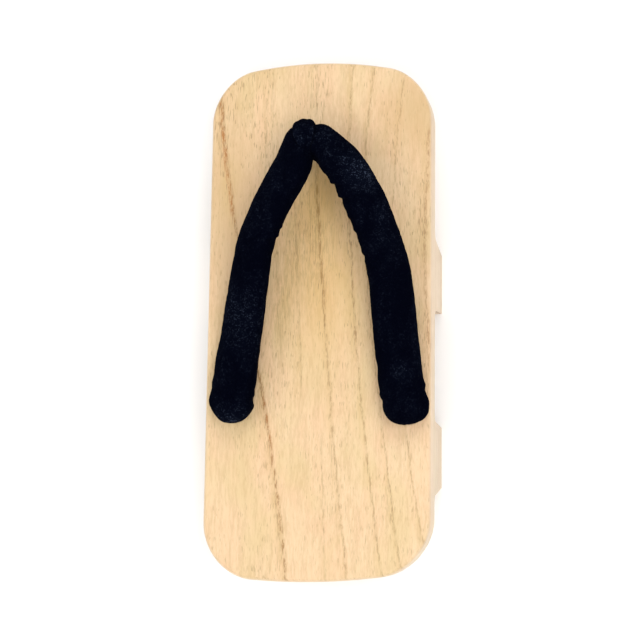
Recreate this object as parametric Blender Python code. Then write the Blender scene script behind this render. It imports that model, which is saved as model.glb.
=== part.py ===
"""A left geta: one carved paulownia board on two teeth, a padded V-shaped strap, a toe loop and its cords.

Metres, +Z up. The origin is on the floor under the board's middle, +Y points to the toe and +X to the
wearer's right, which is the inner side of this left sandal.
"""

import math
from typing import NamedTuple

import bmesh
import bpy
from mathutils import Vector

MM = 0.001

# Board and teeth, carved from one block
BOARD_LENGTH = 245 * MM
HEEL_WIDTH = 107.5 * MM
TOE_WIDTH = 105 * MM
TOTAL_HEIGHT = 50 * MM
BOARD_THICKNESS = 17 * MM
TOE_CORNER_RADIUS = 20.3 * MM
TOE_BULGE = 7.9 * MM
HEEL_CORNER_RADIUS = 23.3 * MM
HEEL_BULGE = 5 * MM
HEEL_SLANT = math.radians(2)
TOP_EDGE_ROUND = 1.8 * MM
FOOT_EDGE_CHAMFER = 0.9 * MM
UNDER_EDGE_CHAMFER = 0.6 * MM

# The ends of the board, whose undersides rise to a thinner tip
TOE_TIP_THICKNESS = 12 * MM
TOE_RISE_LENGTH = 30 * MM
HEEL_TIP_THICKNESS = 13 * MM
HEEL_RISE_LENGTH = 24 * MM

# The teeth, whose faces lean, most on the toe's and the heel's side, and run into the board in a hollow curve
FRONT_TOOTH_FROM_TOE = 87 * MM
FRONT_TOOTH_THICKNESS = 28 * MM
REAR_TOOTH_FROM_HEEL = 45 * MM
REAR_TOOTH_THICKNESS = 29 * MM
TOOTH_OUTER_LEAN = 4 * MM
TOOTH_INNER_LEAN = 1.5 * MM
TOOTH_ROOT_RADIUS = 5 * MM

# Holes that the strap and the toe loop go through
FRONT_HOLE_RADIUS = 6 * MM
FRONT_HOLE_FROM_TOE = 42 * MM
REAR_HOLE_RADIUS = 5.5 * MM
REAR_HOLE_TO_TOOTH = 9 * MM
REAR_HOLES_APART = 81 * MM

# The padded strap
STRAP_WIDTH = 20 * MM
STRAP_THICKNESS = 13 * MM
STRAP_RISE = 14.5 * MM
STRAP_END_LENGTH = 9.7 * MM
STRAP_FLATNESS = 2.25
STRAP_NECK_LENGTH = 10 * MM

# The toe loop, a padded band round the strap's front on a post between the toes
LOOP_WIDTH = 10.5 * MM
LOOP_THICKNESS = 4.2 * MM
LOOP_STANDS_PROUD = 1.0 * MM
LOOP_LENGTH = 15.5 * MM
LOOP_TURN = math.radians(17)
POST_NECK_LENGTH = 13 * MM

# The cords under the board
CORD_RADIUS = 2.1 * MM
CORD_TAIL = 15 * MM
TIE_KNOT_FORWARD = 8 * MM
KNOT_TURNS = 1.25

CLEARANCE = 0.3 * MM

ARM_STATIONS = 30
ARM_SIDES = 24
END_STATIONS = 5
BAND_STATIONS = 36
BAND_SIDES = 14
CORD_SIDES = 8
CORNER_STEPS = 10
END_STEPS = 10
ROOT_STEPS = 5
HOLE_SIDES = 32

BOARD_TOP = TOTAL_HEIGHT
BOARD_UNDER = TOTAL_HEIGHT - BOARD_THICKNESS
TOE_END = BOARD_LENGTH / 2
HEEL_END = -BOARD_LENGTH / 2
FRONT_HOLE_Y = TOE_END - FRONT_HOLE_FROM_TOE
REAR_TOOTH_FRONT_Y = HEEL_END + REAR_TOOTH_FROM_HEEL + REAR_TOOTH_THICKNESS
REAR_HOLE_Y = REAR_TOOTH_FRONT_Y + REAR_HOLE_TO_TOOTH + REAR_HOLE_RADIUS - TOOTH_ROOT_RADIUS
REAR_HOLE_X = REAR_HOLES_APART / 2


class ArmSection(NamedTuple):
    """One section of a strap arm. Lengths are shares, and roof is in degrees."""

    along: float  # of the way from the rear hole to the front hole
    out: float  # of half the distance between the rear holes
    sway: float  # of the strap's width, to the wearer's right on both arms
    lift: float  # of the strap's rise, under the arm
    width: float  # of the strap's width
    thick: float  # of the strap's thickness
    roof: float  # how far the outer edge of the arm hangs down


ARM_SECTIONS = (
    ArmSection(0.00, 1.004, 0.08, 0.00, 1.07, 1.12, 6),
    ArmSection(0.09, 0.963, 0.06, 0.03, 1.04, 1.08, 9),
    ArmSection(0.19, 0.92, 0.08, 0.16, 1.02, 1.04, 13),
    ArmSection(0.30, 0.876, 0.115, 0.36, 1.00, 1.00, 17),
    ArmSection(0.40, 0.84, 0.145, 0.56, 0.99, 0.98, 20),
    ArmSection(0.50, 0.795, 0.16, 0.75, 0.98, 0.97, 22),
    ArmSection(0.60, 0.72, 0.15, 0.90, 0.97, 0.97, 24),
    ArmSection(0.70, 0.605, 0.15, 0.98, 0.97, 0.97, 25),
    ArmSection(0.80, 0.465, 0.16, 1.00, 0.97, 0.98, 26),
    ArmSection(0.90, 0.30, 0.13, 0.97, 0.96, 1.00, 26),
    ArmSection(0.95, 0.20, 0.03, 0.92, 0.94, 1.00, 24),
    ArmSection(0.985, 0.12, -0.08, 0.86, 0.90, 1.00, 20),
)


class BandSection(NamedTuple):
    """One section of the toe loop, by its place round the strap's front. Lengths are shares."""

    turn: float  # of a full turn, from the front over the top
    width: float  # of the loop's width
    thick: float  # of the loop's thickness


BAND_SECTIONS = (
    BandSection(0.00, 1.00, 1.00),
    BandSection(0.13, 1.00, 0.95),
    BandSection(0.28, 0.85, 0.85),
    BandSection(0.45, 0.58, 0.85),
    BandSection(0.60, 0.72, 0.95),
    BandSection(0.75, 0.95, 1.00),
    BandSection(0.88, 1.00, 1.00),
)


def clear_scene():
    """Removes what the scene holds."""
    for obj in list(bpy.data.objects):
        bpy.data.objects.remove(obj)


def material(name, colour, roughness):
    """A Principled material with that colour and roughness."""
    made = bpy.data.materials.new(name)
    made.use_nodes = True
    shader = made.node_tree.nodes["Principled BSDF"]
    shader.inputs["Base Color"].default_value = (*colour, 1)
    shader.inputs["Roughness"].default_value = roughness
    shader.inputs["Metallic"].default_value = 0
    return made


def new_object(name, mesh_maker, finish=None):
    """An object whose mesh is what mesh_maker left in a bmesh, with its normals pointing out."""
    made = bmesh.new()
    mesh_maker(made)
    bmesh.ops.recalc_face_normals(made, faces=made.faces)
    mesh = bpy.data.meshes.new(name)
    made.to_mesh(mesh)
    made.free()
    obj = bpy.data.objects.new(name, mesh)
    bpy.context.scene.collection.objects.link(obj)
    if finish:
        mesh.materials.append(finish)
        mesh.shade_smooth()
        mesh.set_sharp_from_angle(angle=math.radians(35))
    return obj


def as_helper(obj):
    """Keeps a cutter or a joined piece out of the render."""
    obj.hide_render = True
    obj.display_type = "WIRE"
    return obj


def boolean(target, other, operation):
    """Cuts target with other, keeps what they share, or joins them."""
    modifier = target.modifiers.new(f"{operation.lower()} {other.name}", "BOOLEAN")
    modifier.operation = operation
    modifier.object = as_helper(other)


def loft(made, rings, closed=False):
    """Skins a row of rings of points. An open row gets a face at each end, and a closed one joins up."""
    loops = [[made.verts.new(point) for point in ring] for ring in rings]
    pairs = list(zip(loops, loops[1:]))
    if closed:
        pairs.append((loops[-1], loops[0]))
    for first, second in pairs:
        for i in range(len(first)):
            j = (i + 1) % len(first)
            made.faces.new((first[i], first[j], second[j], second[i]))
    if not closed:
        made.faces.new(loops[0])
        made.faces.new(reversed(loops[-1]))


def prism(made, outline, push):
    """Extrudes a flat outline of points by the vector push."""
    face = made.faces.new([made.verts.new(point) for point in outline])
    pushed = bmesh.ops.extrude_face_region(made, geom=[face])["geom"]
    moved = [item for item in pushed if isinstance(item, bmesh.types.BMVert)]
    bmesh.ops.translate(made, verts=moved, vec=push)


def smooth_row(rows, place):
    """The columns of a table at a place between its rows, on a smooth curve through them."""
    index = min(int(place), len(rows) - 2)
    share = place - index
    picked = [rows[min(max(index + step, 0), len(rows) - 1)] for step in (-1, 0, 1, 2)]
    values = []
    for before, start, end, after in zip(*picked):
        rise, fall = (end - before) / 2, (after - start) / 2
        values.append(
            (2 * share**3 - 3 * share**2 + 1) * start
            + (share**3 - 2 * share**2 + share) * rise
            + (3 * share**2 - 2 * share**3) * end
            + (share**3 - share**2) * fall
        )
    return type(rows[0])(*values) if hasattr(rows[0], "_fields") else Vector(values)


def smooth_path(points, spacing):
    """Points about spacing apart on a smooth curve through the given ones."""
    path = []
    for index in range(len(points) - 1):
        length = (points[index + 1] - points[index]).length
        steps = max(2, round(length / spacing))
        path += [smooth_row(points, index + step / steps) for step in range(steps)]
    return path + [points[-1]]


def tube(made, path, radii, sides):
    """A round tube along a path, with a radius for each point and flat ends."""
    tangents = [(path[min(i + 1, len(path) - 1)] - path[max(i - 1, 0)]).normalized() for i in range(len(path))]
    side = tangents[0].orthogonal().normalized()
    rings = []
    for point, tangent, radius in zip(path, tangents, radii):
        side = (side - tangent * side.dot(tangent)).normalized()
        up = tangent.cross(side)
        angles = [math.tau * k / sides for k in range(sides)]
        rings.append([point + radius * (math.cos(a) * side + math.sin(a) * up) for a in angles])
    loft(made, rings)


def cylinder(name, x, y, radius, low, high):
    """An upright cylinder between two heights."""
    angles = [math.tau * k / HOLE_SIDES for k in range(HOLE_SIDES)]
    outline = [Vector((x + radius * math.cos(a), y + radius * math.sin(a), low)) for a in angles]
    return new_object(name, lambda made: prism(made, outline, Vector((0, 0, high - low))))


def plan_point(x, y):
    """Bends a rounded rectangle's point into the board's plan: bulged ends, a slanted heel and a taper."""
    share = x / (HEEL_WIDTH / 2)
    if y > 0:
        y += TOE_BULGE * (1 - share**2)
    else:
        reach = min(1, -y / (BOARD_LENGTH / 2))
        y -= HEEL_BULGE * (1 - share**2)
        y += x * math.tan(HEEL_SLANT) * reach
    middle_width = (HEEL_WIDTH + TOE_WIDTH) / 2
    width = middle_width + (TOE_WIDTH - HEEL_WIDTH) * y / BOARD_LENGTH
    return Vector((x * width / HEEL_WIDTH, y, 0))


def plan_outline():
    """The board's outline from above, as corner arcs and bulged ends between straight sides."""
    half = HEEL_WIDTH / 2
    toe, heel = TOE_END - TOE_BULGE, HEEL_END + HEEL_BULGE
    corners = (
        (1, toe, TOE_CORNER_RADIUS, 0),
        (-1, toe, TOE_CORNER_RADIUS, 90),
        (-1, heel, HEEL_CORNER_RADIUS, 180),
        (1, heel, HEEL_CORNER_RADIUS, 270),
    )
    outline = []
    for number, (side, end, radius, start) in enumerate(corners):
        centre_x = side * (half - radius)
        centre_y = end - math.copysign(radius, end)
        for step in range(CORNER_STEPS + 1):
            angle = math.radians(start + 90 * step / CORNER_STEPS)
            outline.append((centre_x + radius * math.cos(angle), centre_y + radius * math.sin(angle)))
        if number in (0, 2):
            for step in range(1, END_STEPS):
                outline.append((centre_x * (1 - 2 * step / END_STEPS), end))
    return [plan_point(x, y) for x, y in outline]


def root_curve(face_y, direction):
    """The hollow curve from a tooth's leaning face into the board's underside, from the face outwards."""
    centre_y = face_y + direction * TOOTH_ROOT_RADIUS
    centre_z = BOARD_UNDER - TOOTH_ROOT_RADIUS
    points = []
    for step in range(ROOT_STEPS + 1):
        angle = math.pi / 2 * step / ROOT_STEPS
        y = centre_y - direction * TOOTH_ROOT_RADIUS * math.cos(angle)
        points.append((y, centre_z + TOOTH_ROOT_RADIUS * math.sin(angle)))
    return points


def side_profile():
    """The block's outline from the side, as (y, z): the board's top, its rising ends and the two teeth."""
    front_tooth_front = TOE_END - FRONT_TOOTH_FROM_TOE
    front_tooth_back = front_tooth_front - FRONT_TOOTH_THICKNESS
    rear_tooth_back = HEEL_END + REAR_TOOTH_FROM_HEEL
    beyond = 10 * MM
    toe_rise = (BOARD_THICKNESS - TOE_TIP_THICKNESS) * (TOE_RISE_LENGTH + beyond) / TOE_RISE_LENGTH
    heel_rise = (BOARD_THICKNESS - HEEL_TIP_THICKNESS) * (HEEL_RISE_LENGTH + beyond) / HEEL_RISE_LENGTH
    outline = [
        (HEEL_END - beyond, BOARD_TOP),
        (HEEL_END - beyond, BOARD_UNDER + heel_rise),
        (HEEL_END + HEEL_RISE_LENGTH, BOARD_UNDER),
    ]
    outline += reversed(root_curve(rear_tooth_back - TOOTH_OUTER_LEAN, -1))
    outline += [(rear_tooth_back, 0), (REAR_TOOTH_FRONT_Y, 0)]
    outline += root_curve(REAR_TOOTH_FRONT_Y + TOOTH_INNER_LEAN, 1)
    outline += reversed(root_curve(front_tooth_back - TOOTH_INNER_LEAN, -1))
    outline += [(front_tooth_back, 0), (front_tooth_front, 0)]
    outline += root_curve(front_tooth_front + TOOTH_OUTER_LEAN, 1)
    outline += [
        (TOE_END - TOE_RISE_LENGTH, BOARD_UNDER),
        (TOE_END + beyond, BOARD_UNDER + toe_rise),
        (TOE_END + beyond, BOARD_TOP),
    ]
    return outline


def edges_at(made, height):
    """The edges that lie flat at that height."""
    return [edge for edge in made.edges if all(abs(v.co.z - height) < 1e-6 for v in edge.verts)]


def plan_block(made):
    """The board's plan as a full-height block, its top edge rounded and its bottom edge chamfered."""
    prism(made, plan_outline(), Vector((0, 0, TOTAL_HEIGHT)))
    for height, size, steps in ((TOTAL_HEIGHT, TOP_EDGE_ROUND, 3), (0, FOOT_EDGE_CHAMFER, 1)):
        bmesh.ops.bevel(
            made, geom=edges_at(made, height), offset=size, segments=steps, profile=0.5, affect="EDGES"
        )


def make_board(wood):
    """The board and its teeth: the plan and the side profile in one block, with the three strap holes."""
    board = new_object("dai_board", plan_block, wood)
    outline = [Vector((-HEEL_WIDTH, y, z)) for y, z in side_profile()]
    side_block = new_object("side_block", lambda made: prism(made, outline, Vector((2 * HEEL_WIDTH, 0, 0))))
    boolean(board, side_block, "INTERSECT")
    over = TOTAL_HEIGHT + 10 * MM
    holes = [
        (0, FRONT_HOLE_Y, FRONT_HOLE_RADIUS),
        (REAR_HOLE_X, REAR_HOLE_Y, REAR_HOLE_RADIUS),
        (-REAR_HOLE_X, REAR_HOLE_Y, REAR_HOLE_RADIUS),
    ]
    for number, (x, y, radius) in enumerate(holes):
        boolean(board, cylinder(f"hole_cutter_{number}", x, y, radius, -10 * MM, over), "DIFFERENCE")
    edges = board.modifiers.new("eased edges", "BEVEL")
    edges.limit_method = "ANGLE"
    edges.angle_limit = math.radians(40)
    edges.width = UNDER_EDGE_CHAMFER
    edges.segments = 1
    return board


def ring_of(centre, across, up, width, thick):
    """A flattened oval ring of points, width along across and thick along up."""
    ring = []
    for k in range(ARM_SIDES):
        angle = math.tau * k / ARM_SIDES
        c, s = math.cos(angle), math.sin(angle)
        x = math.copysign(abs(c) ** (2 / STRAP_FLATNESS), c)
        y = math.copysign(abs(s) ** (2 / STRAP_FLATNESS), s)
        ring.append(centre + across * (x * width / 2) + up * (y * thick / 2))
    return ring


def arm_centre(row, side):
    """The middle of an arm's section. Its lowest point is the row's lift above the board."""
    half_width, half_thick = row.width * STRAP_WIDTH / 2, row.thick * STRAP_THICKNESS / 2
    roof = math.radians(row.roof)
    half_height = math.hypot(half_width * math.sin(roof), half_thick * math.cos(roof)) * 1.04
    return Vector(
        (
            side * row.out * REAR_HOLE_X + row.sway * STRAP_WIDTH,
            REAR_HOLE_Y + row.along * (FRONT_HOLE_Y - REAR_HOLE_Y),
            BOARD_TOP + CLEARANCE + half_height + row.lift * STRAP_RISE,
        )
    )


def arm_rings(side, grow=0.0):
    """The sections of one arm from its rear end to its front end, each end rounded off.

    The right arm has one section more, so that no faces of the two arms coincide where they join.
    """
    last = len(ARM_SECTIONS) - 1
    steps = ARM_STATIONS + (side > 0)
    rows = [smooth_row(ARM_SECTIONS, last * k / steps) for k in range(steps + 1)]
    centres = [arm_centre(row, side) for row in rows]
    stations = []
    for k, (row, centre) in enumerate(zip(rows, centres)):
        along = centres[min(k + 1, steps)] - centres[max(k - 1, 0)]
        along.z = 0
        stations.append((row, centre, along.normalized(), 1.0))
    for end, direction in ((0, -1), (-1, 1)):
        row, centre, along, _ = stations[end]
        cap = []
        for step in range(1, END_STATIONS + 1):
            angle = math.radians(82) * step / END_STATIONS
            push = along * (direction * (STRAP_END_LENGTH + grow) * math.sin(angle))
            cap.append((row, centre + push, along, math.cos(angle) ** 0.8))
        stations = cap[::-1] + stations if direction < 0 else stations + cap
    rings = []
    for row, centre, along, shrink in stations:
        outward = Vector((along.y, -along.x, 0)) * side
        roof = math.radians(row.roof)
        across = outward * math.cos(roof) - Vector((0, 0, math.sin(roof)))
        up = outward * math.sin(roof) + Vector((0, 0, math.cos(roof)))
        width = (row.width * STRAP_WIDTH + 2 * grow) * shrink
        thick = (row.thick * STRAP_THICKNESS + 2 * grow) * shrink
        rings.append(ring_of(centre, across, up, width, thick))
    return rings


def make_strap(velvet):
    """The strap: two padded arms joined at the front, each with a neck down its rear hole."""
    strap = new_object("hanao_strap", lambda made: loft(made, arm_rings(-1)), velvet)
    boolean(strap, new_object("right_arm", lambda made: loft(made, arm_rings(1))), "UNION")
    low = BOARD_TOP - STRAP_NECK_LENGTH
    high = BOARD_TOP + CLEARANCE + STRAP_THICKNESS / 2
    radius = REAR_HOLE_RADIUS - CLEARANCE
    for name, side in (("left_neck", -1), ("right_neck", 1)):
        boolean(strap, cylinder(name, side * REAR_HOLE_X, REAR_HOLE_Y, radius, low, high), "UNION")
    return strap


def grown_strap():
    """The strap's arms with the clearance added all round, which the toe loop is cut with."""
    grown = new_object("grown_left_arm", lambda made: loft(made, arm_rings(-1, CLEARANCE)))
    boolean(grown, new_object("grown_right_arm", lambda made: loft(made, arm_rings(1, CLEARANCE))), "UNION")
    return grown


def strap_front():
    """The middle of the strap's front, where the two arms meet inside the toe loop."""
    row = ARM_SECTIONS[-1]
    return (arm_centre(row, -1) + arm_centre(row, 1)) / 2


def band_rings():
    """The sections of the toe loop's band, which runs right round the strap's front."""
    half_length = LOOP_LENGTH / 2
    half_height = STRAP_THICKNESS / 2 + LOOP_STANDS_PROUD
    across = Vector((math.cos(LOOP_TURN), math.sin(LOOP_TURN), 0))
    forward = Vector((-math.sin(LOOP_TURN), math.cos(LOOP_TURN), 0))
    centre = strap_front() + forward * (STRAP_END_LENGTH + LOOP_STANDS_PROUD - half_length)
    rows = BAND_SECTIONS + (BAND_SECTIONS[0]._replace(turn=1.0),)
    rings = []
    for k in range(BAND_STATIONS):
        row = smooth_row(rows, (len(rows) - 1) * k / BAND_STATIONS)
        angle = math.tau * row.turn
        outward = (forward * math.cos(angle) + Vector((0, 0, math.sin(angle)))).normalized()
        middle = centre + forward * (half_length * math.cos(angle)) + Vector((0, 0, half_height * math.sin(angle)))
        ring = []
        for step in range(BAND_SIDES):
            turn = math.tau * step / BAND_SIDES
            sideways = across * (row.width * LOOP_WIDTH / 2 * math.cos(turn))
            ring.append(middle + sideways + outward * (row.thick * LOOP_THICKNESS / 2 * math.sin(turn)))
        rings.append(ring)
    return rings


def make_toe_loop(velvet):
    """The toe loop: a band round the strap's front and the post that goes down the front hole."""
    loop = new_object("maetsubo_toe_loop", lambda made: loft(made, band_rings(), closed=True), velvet)
    front = strap_front()
    radius = FRONT_HOLE_RADIUS - CLEARANCE
    foot = Vector((0, FRONT_HOLE_Y, BOARD_TOP - POST_NECK_LENGTH))
    collar = Vector((0, FRONT_HOLE_Y, BOARD_TOP + 1 * MM))
    head = Vector((front.x, front.y, front.z - STRAP_THICKNESS / 4))
    path = [foot, (foot + collar) / 2, collar, collar.lerp(head, 0.35), collar.lerp(head, 0.7), head]
    radii = [radius, radius, radius, radius * 0.93, radius * 0.93, radius]
    post = new_object("post", lambda made: tube(made, path, radii, BAND_SIDES + 4))
    boolean(loop, post, "UNION")
    boolean(loop, grown_strap(), "DIFFERENCE")
    return loop


def knot_strand(half_turn):
    """One cord of the rear tie, from inside its hole to its tail, on the left or turned half round."""
    r = CORD_RADIUS
    level = BOARD_UNDER - CLEARANCE - r
    high, low = level, level - 1.8 * r
    hole_top = BOARD_TOP - STRAP_NECK_LENGTH - 2 * CLEARANCE
    turn = -1 if half_turn else 1
    out_of_hole = (
        (-REAR_HOLE_X, 0, hole_top),
        (-REAR_HOLE_X, 0, hole_top - r),
        (-REAR_HOLE_X - 0.1 * r, 0, BOARD_UNDER + r),
        (-REAR_HOLE_X + 0.2 * r, 0.1 * r, BOARD_UNDER - 0.4 * r),
        (-REAR_HOLE_X + 1.6 * r, 0.4 * r, level - 0.4 * r),
    )
    knot = (
        (-REAR_HOLE_X / 2, 1.6 * r, level - 0.1 * r),
        (-5 * r, 2.8 * r, high),
        (-2 * r, 3 * r, high - 0.2 * r),
        (1.5 * r, 3 * r, low),
        (3.6 * r, 2.4 * r, low),
        (4.4 * r, 1 * r, low),
        (3.6 * r, -0.4 * r, low),
        (1.5 * r, -1 * r, low),
        (-2 * r, -1 * r, high - 0.2 * r),
        (-5 * r, -1.2 * r, high),
        (-5 * r - CORD_TAIL / 2, -2 * r, high - 0.4 * r),
        (-5 * r - CORD_TAIL, -2.4 * r, high - 1.6 * r),
    )
    knot_y = REAR_HOLE_Y + TIE_KNOT_FORWARD
    path = [Vector((turn * x, REAR_HOLE_Y + y, z)) for x, y, z in out_of_hole]
    return path + [Vector((turn * x, knot_y + turn * y, z)) for x, y, z in knot]


def make_rear_tie(cotton):
    """The cords of the strap's two arms, tied to each other under the board in a flat knot."""

    def strand(half_turn):
        path = smooth_path(knot_strand(half_turn), 2.2 * MM)
        return lambda made: tube(made, path, [CORD_RADIUS] * len(path), CORD_SIDES)

    tie = new_object("rear_tie_cord", strand(False), cotton)
    boolean(tie, new_object("right_strand", strand(True)), "UNION")
    return tie


def twisted_strand(half_turn):
    """One cord of the front knot: down the front hole, round the other cord, and out to a tail."""
    r = CORD_RADIUS
    turn = math.pi if half_turn else 0
    top = BOARD_TOP - POST_NECK_LENGTH - CLEARANCE
    wrap_top = BOARD_UNDER - CLEARANCE - 1.2 * r
    wrap_depth = 3.2 * r
    steps = 12
    points = [(0.95 * r, turn, top), (0.95 * r, turn, BOARD_UNDER)]
    for step in range(steps + 1):
        share = step / steps
        angle = turn + math.tau * KNOT_TURNS * share
        points.append(((0.95 + 1.05 * min(1, 2.5 * share)) * r, angle, wrap_top - wrap_depth * share))
    last = turn + math.tau * KNOT_TURNS
    points.append((2 * r + CORD_TAIL * 0.5, last + 0.55, wrap_top - wrap_depth - 0.3 * r))
    points.append((2 * r + CORD_TAIL, last + 0.6, wrap_top - wrap_depth - 1.2 * r))
    return [Vector((d * math.cos(a), FRONT_HOLE_Y + d * math.sin(a), z)) for d, a, z in points]


def make_front_knot(cotton):
    """The toe loop's two cords, wound round each other under the front hole, with short tails."""

    def strand(half_turn):
        path = smooth_path(twisted_strand(half_turn), 2.2 * MM)
        return lambda made: tube(made, path, [CORD_RADIUS] * len(path), CORD_SIDES)

    knot = new_object("front_knot_cord", strand(False), cotton)
    boolean(knot, new_object("second_strand", strand(True)), "UNION")
    return knot


def main():
    """Builds the sandal."""
    clear_scene()
    wood = material("paulownia_wood", (0.83, 0.62, 0.38), 0.5)
    velvet = material("black_velvet", (0.008, 0.009, 0.014), 0.95)
    cotton = material("black_cotton_cord", (0.015, 0.015, 0.018), 0.9)
    make_board(wood)
    make_strap(velvet)
    make_toe_loop(velvet)
    make_rear_tie(cotton)
    make_front_knot(cotton)


main()
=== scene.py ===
"""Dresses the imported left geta: a carved paulownia board, a padded velvet strap, a toe loop and its cords.

Metres, +Z up. The origin is on the floor under the board's middle, +Y points to the toe and +X to the
wearer's right, which is the inner side of this left geta.
"""

import logging
import math
from dataclasses import dataclass, field
from enum import Enum
from typing import Any, NamedTuple, Sequence

import bmesh
import bpy
import numpy as np
from mathutils import Matrix, Vector, noise

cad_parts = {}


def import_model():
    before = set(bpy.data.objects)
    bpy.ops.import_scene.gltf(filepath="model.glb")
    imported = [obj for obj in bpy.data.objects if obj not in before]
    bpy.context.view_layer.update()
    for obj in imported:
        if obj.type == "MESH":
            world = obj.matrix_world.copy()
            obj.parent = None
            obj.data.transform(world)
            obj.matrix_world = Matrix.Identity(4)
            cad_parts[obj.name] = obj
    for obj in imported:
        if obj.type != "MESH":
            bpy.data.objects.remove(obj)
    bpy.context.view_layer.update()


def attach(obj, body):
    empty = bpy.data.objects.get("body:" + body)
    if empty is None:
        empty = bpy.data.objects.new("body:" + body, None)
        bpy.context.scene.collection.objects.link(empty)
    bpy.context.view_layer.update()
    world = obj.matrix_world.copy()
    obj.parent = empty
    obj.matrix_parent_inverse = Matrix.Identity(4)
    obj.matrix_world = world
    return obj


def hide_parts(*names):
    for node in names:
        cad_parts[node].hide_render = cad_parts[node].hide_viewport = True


LOG = logging.getLogger("geta")
RGB = tuple[float, float, float]
Outline = list[tuple[float, float]]
MM = 0.001

# The board's own sizes, which the figure of its wood is placed by too.
BOARD_LENGTH = 245 * MM
BOARD_TOP = 50 * MM

# How far a cutter goes past the piece that it cuts.
OVERSHOOT = 10 * MM


class Side(Enum):
    """The two arms of the strap, by the sign of their x."""

    LEFT = -1
    RIGHT = 1


class Slot(Enum):
    """The record's material slots."""

    WOOD = "paulownia_wood"
    VELVET = "black_velvet"
    CORD = "black_cotton_cord"


class Tree:
    """Adds nodes to a shader, group or geometry tree and links them."""

    def __init__(self, tree: bpy.types.NodeTree) -> None:
        """Keeps the node tree to build in."""
        self.tree = tree

    def add(self, kind: str, **settings: Any) -> bpy.types.Node:
        """Adds a node.

        Args:
            kind: The node's type name.
            settings: Attributes to set on it.

        Returns:
            The new node.
        """
        node = self.tree.nodes.new(kind)
        for name, value in settings.items():
            setattr(node, name, value)
        return node

    def wire(self, source: Any, target: Any) -> None:
        """Links an output to an input, or sets the input to a plain value.

        Args:
            source: An output socket, a number, a tuple or another value.
            target: The input socket.
        """
        if isinstance(source, bpy.types.NodeSocket):
            self.tree.links.new(source, target)
        else:
            target.default_value = source

    def fill(self, node: bpy.types.Node, values: dict[str, Any]) -> None:
        """Links or sets several inputs of a node, by a socket or a plain value for each input's name."""
        for name, value in values.items():
            self.wire(value, node.inputs[name])

    def math(self, operation: str, *inputs: Any, clamp: bool = False) -> bpy.types.NodeSocket:
        """A Math node.

        Args:
            operation: The Math node's operation.
            inputs: Its inputs, each a socket or a number.
            clamp: Whether the result stays between 0 and 1.

        Returns:
            Its output.
        """
        node = self.add("ShaderNodeMath", operation=operation, use_clamp=clamp)
        for value, target in zip(inputs, node.inputs):
            self.wire(value, target)
        return node.outputs[0]

    def vector(self, operation: str, *inputs: Any) -> bpy.types.bpy_prop_collection:
        """A Vector Math node.

        Args:
            operation: The Vector Math node's operation.
            inputs: Its inputs, each a socket or a tuple.

        Returns:
            Its outputs, a vector and a value.
        """
        node = self.add("ShaderNodeVectorMath", operation=operation)
        for value, target in zip(inputs, node.inputs):
            self.wire(value, target)
        return node.outputs

    def parts(self, vector: Any) -> bpy.types.bpy_prop_collection:
        """Takes a vector apart.

        Args:
            vector: The vector's socket.

        Returns:
            Its x, y and z.
        """
        node = self.add("ShaderNodeSeparateXYZ")
        self.wire(vector, node.inputs[0])
        return node.outputs

    def bump(self, height: Any, strength: float, distance: float) -> bpy.types.NodeSocket:
        """Turns a height into a normal.

        Args:
            height: The socket of the height.
            strength: How strongly it shows.
            distance: The relief's depth, in metres.

        Returns:
            The normal.
        """
        node = self.add("ShaderNodeBump")
        self.fill(node, {"Strength": strength, "Distance": distance, "Height": height})
        return node.outputs[0]

    def ramp(self, value: Any, low: float, high: float, out_low: float = 0.0, out_high: float = 1.0) -> Any:
        """A smooth clamped step.

        Args:
            value: The socket to map.
            low: The value that gives out_low.
            high: The value that gives out_high.
            out_low: The result at low.
            out_high: The result at high.

        Returns:
            The output socket.
        """
        node = self.add("ShaderNodeMapRange", interpolation_type="SMOOTHSTEP")
        self.fill(node, {"Value": value, "From Min": low, "From Max": high})
        self.fill(node, {"To Min": out_low, "To Max": out_high})
        return node.outputs["Result"]

    def mix(self, factor: Any, first: Any, second: Any) -> bpy.types.NodeSocket:
        """Mixes two colours.

        Args:
            factor: The share of the second.
            first: A colour or socket.
            second: A colour or socket.

        Returns:
            The colour output.
        """
        node = self.add("ShaderNodeMix", data_type="RGBA")
        # The Mix node keeps its factor and its two colours at these places.
        for item, index in ((factor, 0), (first, 6), (second, 7)):
            self.wire((*item, 1.0) if isinstance(item, tuple) else item, node.inputs[index])
        return node.outputs[2]

    def noise(self, vector: Any, scale: RGB, detail: float, rough: float, warp: float = 0.0) -> Any:
        """A Noise texture on stretched coordinates.

        Args:
            vector: The coordinates.
            scale: How many cells go into a metre along each axis.
            detail: The number of octaves.
            rough: How strong the finer octaves are.
            warp: The texture's distortion.

        Returns:
            The value output, about 0.5 in the middle.
        """
        node = self.add("ShaderNodeTexNoise")
        self.fill(node, {"Vector": self.vector("MULTIPLY", vector, scale)[0], "Scale": 1.0})
        self.fill(node, {"Detail": detail, "Roughness": rough, "Distortion": warp})
        return node.outputs[0]


def new_material(name: str) -> tuple[bpy.types.Material, Tree, bpy.types.Node]:
    """Makes a material.

    Args:
        name: The material's name.

    Returns:
        The material, its tree and its shader.
    """
    made = bpy.data.materials.new(name)
    made.use_nodes = True
    return made, Tree(made.node_tree), made.node_tree.nodes["Principled BSDF"]


class Kind(Enum):
    """Socket types of a node group."""

    NUMBER = "NodeSocketFloat"
    VECTOR = "NodeSocketVector"
    SHAPE = "NodeSocketGeometry"
    COUNT = "NodeSocketInt"
    FINISH = "NodeSocketMaterial"


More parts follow.
